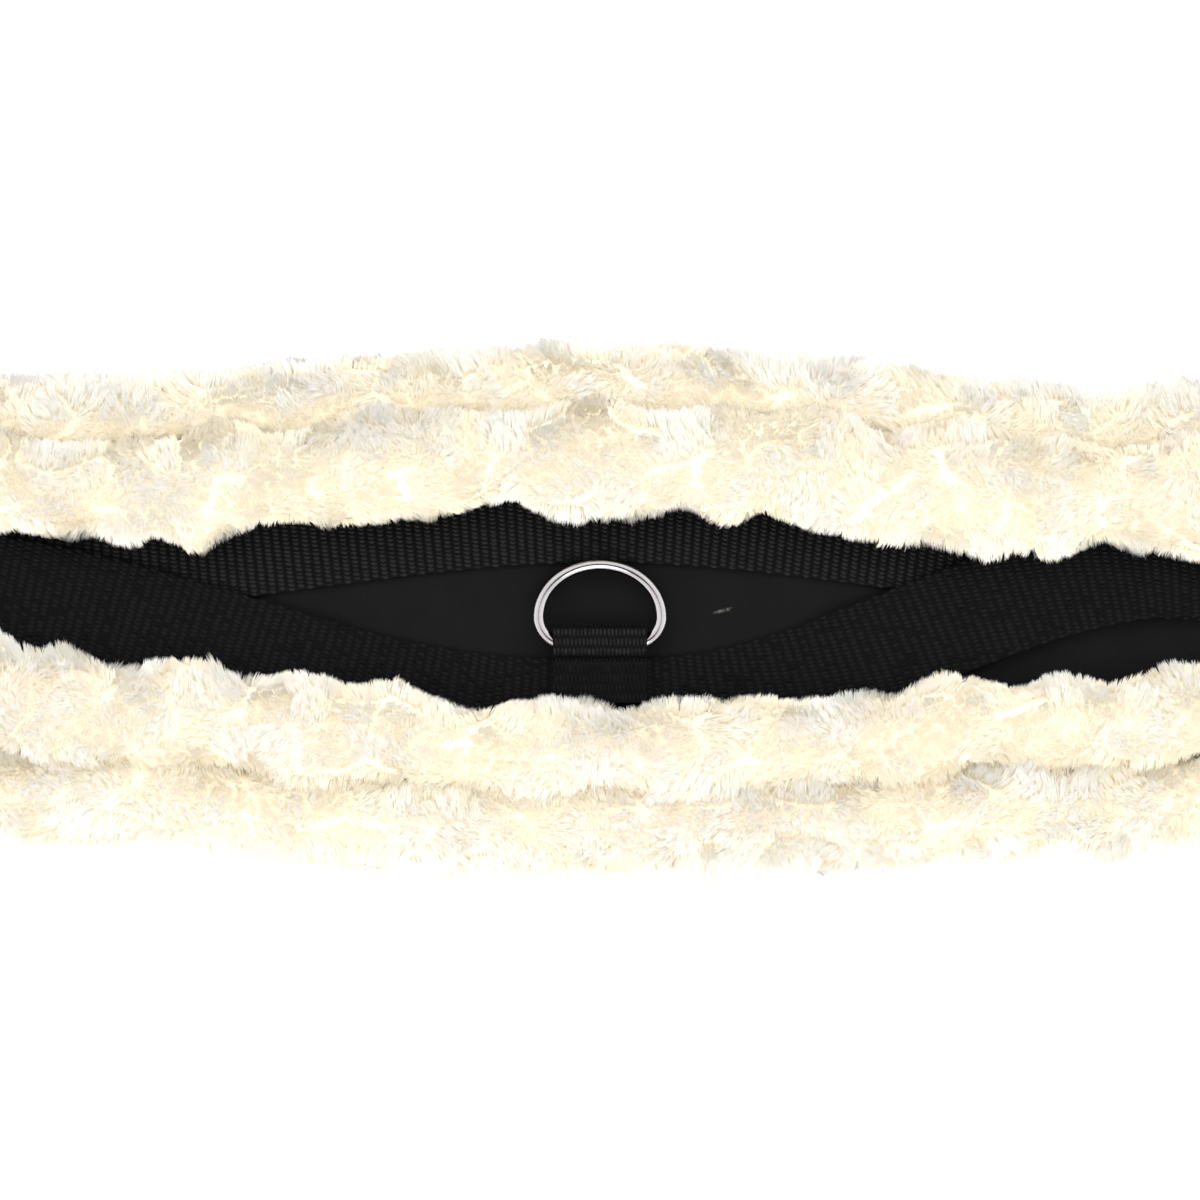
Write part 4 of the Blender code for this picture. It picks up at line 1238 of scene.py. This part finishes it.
def ring_points():
    width = RING_HALF_WIDTH - RING_CORNER[0]
    right = arc((width, RING_CORNER[1]), RING_CORNER, -90, 0, 14)
    bow = arc((0, RING_CORNER[1]), (RING_HALF_WIDTH, RING_ARC_HEIGHT), 0, 180, 60)
    left = arc((-width, RING_CORNER[1]), RING_CORNER, 180, 270, 14)
    bar = np.stack([np.linspace(-width, width, 12), np.zeros(12)], axis=-1)
    flat = np.concatenate([right[:-1], bow[:-1], left[:-1], bar[:-1]])
    return np.concatenate([flat, np.zeros((len(flat), 1))], axis=1) + np.array(RING_BAR)


def make_ring(materials):
    rings = wire_rings(ring_points(), RING_WIRE, (0, 0, 1), closed=True, sides=28)
    ring = ring_loft("d_ring_wire", rings, materials["ring_metal"], closed=True)
    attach(ring, "d_ring")
    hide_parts("d_ring")


def tab_strip():
    near = arc(TAB_LOOP_NEAR, TAB_LOOP_RADII, -90, 90, 24)
    far = arc(TAB_LOOP_FAR, TAB_LOOP_RADII, 90, 165, 12)
    outline = np.concatenate([np.array(TAB_UNDER), near, far, np.array(TAB_OVER)]) * MM
    points = np.insert(outline, 0, 0.0, axis=1)
    return Strip(points, side=np.array([1.0, 0.0, 0.0]))


def make_tab(materials):
    strip = tab_strip()
    share = rounded(TAB_WIDTH / 2, TAB_EDGE, 0.5)
    columns = int(strip.total / WEAVE_COLUMN)
    column = strip.total / columns
    base = slab(
        "tab_base",
        strip.place,
        np.linspace(0, strip.total, columns * 3 + 1),
        np.array(TAB_ACROSS) * MM,
        lambda s, w: -TAB_THICKNESS / 2 * share(w),
        lambda s, w: (TAB_THICKNESS / 2 - TAB_STITCH_RISE) * share(w),
        materials["ground"],
    )
    sewn = round(TAB_SEWN_LENGTH / column)
    parts = [base]
    # Painted light: the raised loop's stitches take the paler tab weave, and the sewn-down end takes the
    # darker strap weave.
    for name, first, count, material in (
        ("tab_loop_stitches", 0, columns - sewn, materials["tab"]),
        ("tab_sewn_stitches", columns - sewn, sewn, materials["webbing_over"]),
    ):
        points, faces = stitch_pillows(
            strip,
            count,
            (column, TAB_STITCH_ROW),
            first * column,
            TAB_THICKNESS / 2 - TAB_STITCH_RISE - WEAVE_SUNK,
            TAB_STITCH_RISE + WEAVE_SUNK,
            0.0,
            TAB_STITCH_FILL,
            31,
        )
        parts.append(new_object(name, points, faces, material, STITCH_SHARP))
    joined("d_ring_tab_weave", parts, ["d_ring_tab"], "root")


# ---------------------------------------------------------------- pad ends


def end_place(side):
    """Turns the right end's shapes round to the left end for side -1."""
    return lambda points: points * np.array([side, side, 1.0])


def rounded_route(half_x, half_y, corner, count):
    """A closed line of points round a rectangle with rounded corners."""
    arcs = []
    for k, (side_x, side_y) in enumerate([(1, 1), (-1, 1), (-1, -1), (1, -1)]):
        centre = (side_x * (half_x - corner), side_y * (half_y - corner))
        arcs.append(arc(centre, (corner, corner), 90 * k, 90 * k + 90, count))
    route = np.concatenate(arcs)
    return np.concatenate([route, route[:1]])


def make_patch(place, side, materials):
    turn = end_place(side)
    middle = sum(PATCH_X) / 2
    half = (PATCH_X[1] - PATCH_X[0]) / 2

    def at(s, w, h):
        into = np.clip((np.abs(s) - (half - PATCH_CORNER)) / PATCH_CORNER, 0, 1)
        wide = PATCH_HALF_WIDTH - PATCH_CORNER * (1 - np.sqrt(1 - into**2 * 0.9999))
        return turn(np.stack([middle + s, w * wide, PATCH_BOTTOM + h], axis=-1))

    def underside(s, w):
        from_strap = (np.abs(w) * PATCH_HALF_WIDTH - BUCKLE_SPREAD) / PATCH_STRAP_REACH
        over_straps = np.exp(-(from_strap**4))
        reach, drop = PATCH_EDGE_DROP
        return -PATCH_SAG * (1 - over_straps) - drop * smoothstep(np.abs(s), half - reach, half)

    def top(s, w):
        start, loss = PATCH_THIN_RIM
        rim = np.maximum(np.abs(s) / half, np.abs(w))
        return underside(s, w) + PATCH_THICKNESS * (1 - loss * smoothstep(rim, start, 1.0))

    def on_top(s, y):
        w = y / PATCH_HALF_WIDTH
        return at(s, w, top(s, w))

    s_values = half * np.sin(np.linspace(-np.pi / 2, np.pi / 2, 49))
    w_values = np.sin(np.linspace(-np.pi / 2, np.pi / 2, 81))
    patch = slab(f"patch_{place}", at, s_values, w_values, underside, top, materials["patch"])
    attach(patch, "root")
    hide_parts(f"end_patch_{place}")
    seam = rounded_route(half - SEAM_INSET, PATCH_HALF_WIDTH - SEAM_INSET, SEAM_CORNER, 8)
    lines = [sewn_line(f"patch_thread_{place}", seam, on_top, materials["thread"])]
    for y in (-BUCKLE_SPREAD, BUCKLE_SPREAD):
        box = np.array(SEAM_BOX) * MM + np.array([0, y])
        lines.append(sewn_line(f"box_thread_{place}", box, on_top, materials["thread"]))
    joined(f"patch_seams_{place}", lines, [], "root")


def sewn_line(name, route, surface, material, stitch=STITCH_LENGTH, radius=THREAD_RADIUS):
    """A row of thread stitches along a route on a surface: each is a low closed capsule."""
    route = np.asarray(route, float)
    steps = np.linalg.norm(np.diff(route, axis=0), axis=1)
    lengths = np.concatenate([[0], np.cumsum(steps)])
    count = max(int(lengths[-1] / stitch), 1)
    starts = np.arange(count) * lengths[-1] / count
    shares = np.linspace(0, 1, 7)
    s = starts[:, None] + STITCH_GAP / 2 + shares[None] * (lengths[-1] / count - STITCH_GAP)
    flat = np.stack([np.interp(s, lengths, route[:, 0]), np.interp(s, lengths, route[:, 1])], axis=-1)
    centre = surface(flat[..., 0], flat[..., 1])
    bulge = np.sin(np.pi * shares)
    thick = radius * (0.35 + 0.65 * np.sqrt(np.clip(bulge, 0, 1)))
    centre[..., 2] += (radius * 0.9 * bulge - radius * 0.3)[None]
    along = unit(np.gradient(centre, axis=1))
    across = unit(np.cross(along, np.array([0.0, 0.0, 1.0])))
    rise = np.cross(across, along)
    angles = np.linspace(0, 2 * np.pi, 8, endpoint=False)[:, None]
    around = across[:, :, None] * np.cos(angles) + rise[:, :, None] * np.sin(angles)
    points = centre[:, :, None] + around * thick[None, :, None, None]
    rows, sides = len(shares), len(angles)
    index = np.arange(rows * sides).reshape(rows, sides)
    turned = np.roll(index, -1, axis=1)
    quads = np.stack([index[:-1], turned[:-1], turned[1:], index[1:]], axis=-1).reshape(-1, 4)
    caps = np.stack([index[0][::-1], index[-1]])
    first = (np.arange(count) * rows * sides)[:, None, None]
    faces = [(first + quads).reshape(-1, 4), (first + caps).reshape(-1, sides)]
    return new_object(name, points.reshape(-1, 3), faces, material)


def make_binding(place, side, materials):
    turn = end_place(side)
    low, high = BINDING_Z
    centre_x = BINDING_X - BINDING_CORNER
    radii = (BINDING_CORNER, BINDING_CORNER)
    bend_low = arc((centre_x, low + BINDING_CORNER), radii, -90, 0, 6)
    bend_high = arc((centre_x, high - BINDING_CORNER), radii, 0, 90, 6)
    lower_end, upper_end = [(BINDING_X - BINDING_LEG, low)], [(BINDING_X - BINDING_LEG, high)]
    outline = np.concatenate([lower_end, bend_low, bend_high, upper_end])
    strip = Strip(np.insert(outline, 1, 0.0, axis=1), side=np.array([0.0, -1.0, 0.0]))
    pitch, height = BINDING_RIB
    binding = slab(
        f"binding_{place}",
        lambda s, w, h: turn(strip.place(s, w, h)),
        np.linspace(0, strip.total, 24),
        np.arange(-BINDING_HALF_WIDTH, BINDING_HALF_WIDTH + 0.1 * MM, pitch / 4),
        lambda s, w: np.full_like(s, -BINDING_THICKNESS / 2),
        lambda s, w: BINDING_THICKNESS / 2 - height * (1 + np.cos(2 * np.pi * w / pitch)),
        materials["binding"],
    )
    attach(binding, "root")
    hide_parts(f"end_binding_{place}")


# ---------------------------------------------------------------- elastics and buckles


def elastic_height(x):
    """The elastic's middle, from the patch down to the buckle."""
    leg_z = HEEL_Z - LOOP_LEG
    return ELASTIC_TOP_Z + (leg_z - ELASTIC_TOP_Z) * smoothstep(x, ELASTIC_BEND_X, ELASTIC_END_X)


def elastic_path():
    """From under the patch, down to the heel bar, round it and back onto itself."""
    leaves, settles, stops = FOLD_BACK_X
    level_x = np.linspace(ELASTIC_ROOT_X, ELASTIC_BEND_X, 8)[:-1]
    down_x = np.concatenate([level_x, np.linspace(ELASTIC_BEND_X, ELASTIC_END_X, 40)])
    down = np.stack([down_x, elastic_height(down_x)], axis=-1)
    leg = [(LOOP_LEG_X, HEEL_Z - LOOP_LEG)]
    bend = arc((HEEL_X, HEEL_Z), (LOOP_RADIUS, LOOP_RADIUS), -LOOP_ARC, LOOP_ARC, 26)
    back = [(LOOP_LEG_X, HEEL_Z + LOOP_LEG), (leaves, HEEL_Z + LOOP_LEG + FOLD_BACK_RISE)]
    last_x = np.linspace(settles, stops, 6)
    last = np.stack([last_x, elastic_height(last_x) + FOLD_RISE], axis=-1)
    return np.concatenate([down, leg, bend, back, last])


def resample(points, step):
    lengths = np.concatenate([[0], np.cumsum(np.linalg.norm(np.diff(points, axis=0), axis=1))])
    s = np.linspace(0, lengths[-1], int(lengths[-1] / step) + 1)
    return np.stack([np.interp(s, lengths, points[:, k]) for k in range(points.shape[1])], axis=-1)


def elastic_surface(strip):
    """The height of the elastic's ribbed and puckered face over its middle, as a function of (s, w)."""
    share = rounded(ELASTIC_WIDTH / 2, ELASTIC_EDGE, 0.45)
    flat, folded = ELASTIC_HALF_THICKNESS
    rib_pitch, rib_height = ELASTIC_RIB
    pucker_pitch, pucker_height = ELASTIC_PUCKER

    def high(s, w):
        half_thickness = np.where(strip.at(strip.points, s)[..., 0] > FOLD_START_X, folded, flat)
        rib = rib_height * np.cos(2 * np.pi * w / rib_pitch)
        turn = 2 * np.pi * s / pucker_pitch + ELASTIC_PUCKER_SHIFT * np.round(w / rib_pitch)
        return (half_thickness - ELASTIC_SUNK + rib + pucker_height * np.cos(turn)) * share(w)

    return high


def make_elastic(place, end_side, y, materials):
    outline = resample(elastic_path(), ELASTIC_STEP)
    strip = Strip(np.insert(outline, 1, 0.0, axis=1), side=np.array([0.0, 1.0, 0.0]))
    half = ELASTIC_WIDTH / 2
    high = elastic_surface(strip)
    turn = end_place(end_side)

    def slot(s, w):
        x = strip.at(strip.points, s)[..., 0]
        return (np.abs(w) < LOOP_SLOT_HALF_WIDTH) & (x > HEEL_X - LOOP_SLOT_DEPTH)

    def fold_top(x, across):
        height = elastic_height(x) + FOLD_RISE + ELASTIC_HALF_THICKNESS[1]
        return np.stack([end_side * x, end_side * across + y, height], axis=-1)

    outside_slot = np.linspace(LOOP_SLOT_HALF_WIDTH, half, 29)
    inside_slot = np.linspace(-LOOP_SLOT_HALF_WIDTH, LOOP_SLOT_HALF_WIDTH, 12)[1:-1]
    strap = slab(
        f"elastic_{place}",
        lambda s, w, h: turn(strip.place(s, w, h)) + np.array([0, y, 0]),
        np.linspace(0, strip.total, ELASTIC_STATIONS),
        np.concatenate([-outside_slot[::-1], inside_slot, outside_slot]),
        lambda s, w: -high(s, w),
        high,
        materials["elastic"],
        hole=slot,
    )
    box = np.array(FOLD_BOX) * MM
    thread = materials["thread"]
    sewing = sewn_line(f"fold_thread_{place}", box, fold_top, thread, FOLD_STITCH, FOLD_THREAD_RADIUS)
    nodes = [f"elastic_strap_{place}", f"strap_loop_{place}"]
    strap = joined(f"elastic_{place}", [strap, sewing], nodes, None)
    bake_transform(strap)


def buckle_place(end_side, y):
    """Moves a right end's buckle shape from the origin to its own heel bar."""
    heel = np.array([end_side * HEEL_X, y, HEEL_Z])
    turn = end_place(end_side)
    return lambda points: turn(points) + heel


def buckle_outline():
    far, near = BUCKLE_LENGTH - BUCKLE_CORNER, BUCKLE_CORNER
    reach = BUCKLE_HALF_WIDTH - BUCKLE_CORNER
    corners = [(far, -reach), (far, reach), (near, reach), (near, -reach)]
    radii = (BUCKLE_CORNER, BUCKLE_CORNER)
    arcs = [arc(corner, radii, 90 * k - 90, 90 * k, 10) for k, corner in enumerate(corners)]
    flat = np.concatenate(arcs)
    z = -ROLLER_DROP * flat[:, 0] / BUCKLE_LENGTH
    return np.concatenate([flat, z[:, None]], axis=1)


def roller_rings():
    """Round the roller bar along Y, with eased ends and a shallow seam."""
    half, ease = ROLLER_HALF_LENGTH, ROLLER_EASE
    profile = [
        (ROLLER_BORE, -half), (ROLLER_RADIUS - ease, -half), (ROLLER_RADIUS, -half + ease),
        (ROLLER_RADIUS, half - ease), (ROLLER_RADIUS - ease, half), (ROLLER_BORE, half),
    ]  # fmt: skip
    depth, width = ROLLER_SEAM
    rings = []
    for angle in np.linspace(0, 2 * np.pi, 48, endpoint=False):
        shrink = 1 - depth * math.exp(-(((angle - math.pi) / width) ** 2))
        outer = [(r * (shrink if r > ROLLER_BORE else 1), along) for r, along in profile]
        rings.append([(r * math.cos(angle), along, r * math.sin(angle)) for r, along in outer])
    return np.array(rings) + np.array([BUCKLE_LENGTH, 0, -ROLLER_DROP])


def tongue_points():
    eye = arc((0, 0), (TONGUE_EYE, TONGUE_EYE), 90, 352, 30)
    prong_x = np.linspace(BUCKLE_LENGTH + TONGUE_REACH, 0, 24)[:-1]
    drop = -TONGUE_TIP_DROP * smoothstep(prong_x, BUCKLE_LENGTH, BUCKLE_LENGTH + TONGUE_REACH)
    prong = np.stack([prong_x, TONGUE_EYE + drop], axis=-1)
    outline = np.concatenate([prong, eye])
    return np.insert(outline, 1, 0.0, axis=1)


def tongue_radii(points):
    """Full wire along the prong, and rounded off at its tip."""
    to_tip = BUCKLE_LENGTH + TONGUE_REACH - points[:, 0]
    return TONGUE_WIRE * (0.55 + 0.45 * np.sqrt(np.clip(to_tip / (2 * TONGUE_WIRE), 0, 1)))


def make_buckle(place, end_side, y, materials):
    move = buckle_place(end_side, y)
    metal = materials["buckle_metal"]
    tilt = (ROLLER_DROP / BUCKLE_LENGTH, 0, 1)
    wire = move(wire_rings(buckle_outline(), BUCKLE_WIRE, tilt, closed=True))
    line = tongue_points()
    prong = move(wire_rings(line, tongue_radii(line), (0, 1, 0), closed=False, sides=16))
    loop = ring_loft(f"frame_{place}", wire, metal, closed=True)
    roller = ring_loft(f"roller_{place}", move(roller_rings()), metal, closed=True, sharp=ROLLER_SHARP)
    tongue = ring_loft(f"tongue_{place}", prong, metal)
    pieces = [
        (loop, "buckle_frame", "buckle"),
        (roller, "buckle_roller", "roller"),
        (tongue, "buckle_tongue", "tongue"),
    ]
    for piece, node, body in pieces:
        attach(piece, f"{body}_{place}")
        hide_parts(f"{node}_{place}")


# ---------------------------------------------------------------- stage


def make_world():
    """White all round, with the dark of the camera's own place overhead for the metal to reflect."""
    world = bpy.data.worlds.new("studio")
    bpy.context.scene.world = world
    world.use_nodes = True
    tree = world.node_tree
    background = tree.nodes["Background"]
    background.inputs["Strength"].default_value = WORLD_STRENGTH
    elevation = math.radians(CAMERA_ELEVATION)
    place = tree.nodes.new("ShaderNodeTexCoord").outputs["Generated"]
    dot = tree.nodes.new("ShaderNodeVectorMath")
    dot.operation = "DOT_PRODUCT"
    dot.inputs[1].default_value = (0, -math.cos(elevation), math.sin(elevation))
    tree.links.new(place, dot.inputs[0])
    ramp = tree.nodes.new("ShaderNodeValToRGB")
    set_stops(ramp, [(cosine, (brightness,) * 3) for cosine, brightness in SKY])
    tree.links.new(dot.outputs["Value"], ramp.inputs["Fac"])
    tree.links.new(ramp.outputs["Color"], background.inputs["Color"])


def make_light(name, location, target, size, power):
    data = bpy.data.lights.new(name, "AREA")
    data.shape = "DISK"
    data.size = size
    data.energy = power
    lamp = bpy.data.objects.new(name, data)
    lamp.location = location
    lamp.rotation_euler = (Vector(target) - Vector(location)).to_track_quat("-Z", "Y").to_euler()
    bpy.context.scene.collection.objects.link(lamp)


def make_floor():
    half = FLOOR_HALF_SIZE
    corners = np.array([(-half, -half, 0), (half, -half, 0), (half, half, 0), (-half, half, 0)])
    made = Nodes("studio_floor", rough=0.9, specular=0.0)
    made.shader.inputs["Base Color"].default_value = (FLOOR_GREY, FLOOR_GREY, FLOOR_GREY, 1)
    made.shader.inputs["Emission Color"].default_value = (1, 1, 1, 1)
    made.shader.inputs["Emission Strength"].default_value = FLOOR_GLOW
    floor = new_object("studio_floor", corners, [np.array([[0, 1, 2, 3]])], made.material)


def make_camera():
    elevation = math.radians(CAMERA_ELEVATION)
    target = Vector(CAMERA_TARGET)
    data = bpy.data.cameras.new("camera")
    data.sensor_width = SENSOR_WIDTH
    data.lens = SENSOR_WIDTH * CAMERA_DISTANCE / PICTURE_WIDTH
    data.clip_start = NEAR_CLIP
    camera = bpy.data.objects.new("camera", data)
    camera.location = target + CAMERA_DISTANCE * Vector((0, -math.cos(elevation), math.sin(elevation)))
    camera.rotation_euler = (target - camera.location).to_track_quat("-Z", "Y").to_euler()
    bpy.context.scene.collection.objects.link(camera)
    bpy.context.scene.camera = camera


def make_stage():
    bpy.context.scene.view_settings.view_transform = "Standard"
    make_world()
    make_light("key", KEY_PLACE, (0, 0, 0), KEY_SIZE, KEY_POWER)
    make_floor()
    make_camera()


# ---------------------------------------------------------------- the girth


def make_materials():
    made = {key: webbing_material(*look) for key, look in WEBBING_LOOKS.items()}
    made["fleece"] = fleece_material()
    made["backing"] = fleece_backing_material()
    made["panel"] = panel_material()
    made["patch"] = grain_material("patch_grain", *PATCH_COLORS, 900, 0.38)
    made["elastic"] = elastic_material()
    made["thread"] = thread_material()
    made["ring_metal"] = metal_material("ring_nickel", (0.43, 0.41, 0.42), (0.51, 0.49, 0.50), 0.1)
    made["buckle_metal"] = metal_material("buckle_nickel", (0.41, 0.40, 0.40), (0.49, 0.48, 0.48), 0.15)
    made["foam"] = foam_material()
    return made


def dress_node(node, material):
    mesh = node.data
    mesh.materials.clear()
    mesh.materials.append(material)


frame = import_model()
for startup in [o for o in bpy.data.objects if o.name in ("Cube", "Light", "Camera")]:
    bpy.data.objects.remove(startup, do_unlink=True)
materials = make_materials()
make_stage()
for name in ("foam_core", "roll_filler_front", "roll_filler_rear"):
    dress_node(frame["nodes"][name], materials["foam"])
dress_node(frame["nodes"]["outer_panel"], materials["panel"])
make_rolls(materials)
make_lining(materials)
make_tape("webbing_over", over_strap_y, over_strap_z, materials["webbing_over"], materials["ground"], 11)
make_tape("webbing_under", under_strap_y, under_strap_z, materials["webbing_under"], materials["ground"], 12)
make_ring(materials)
make_tab(materials)
for end, end_side in (("left", -1), ("right", 1)):
    make_patch(end, end_side, materials)
    make_binding(end, end_side, materials)
    for edge, edge_side in (("front", -1), ("rear", 1)):
        make_elastic(f"{end}_{edge}", end_side, edge_side * BUCKLE_SPREAD, materials)
        make_buckle(f"{end}_{edge}", end_side, edge_side * BUCKLE_SPREAD, materials)
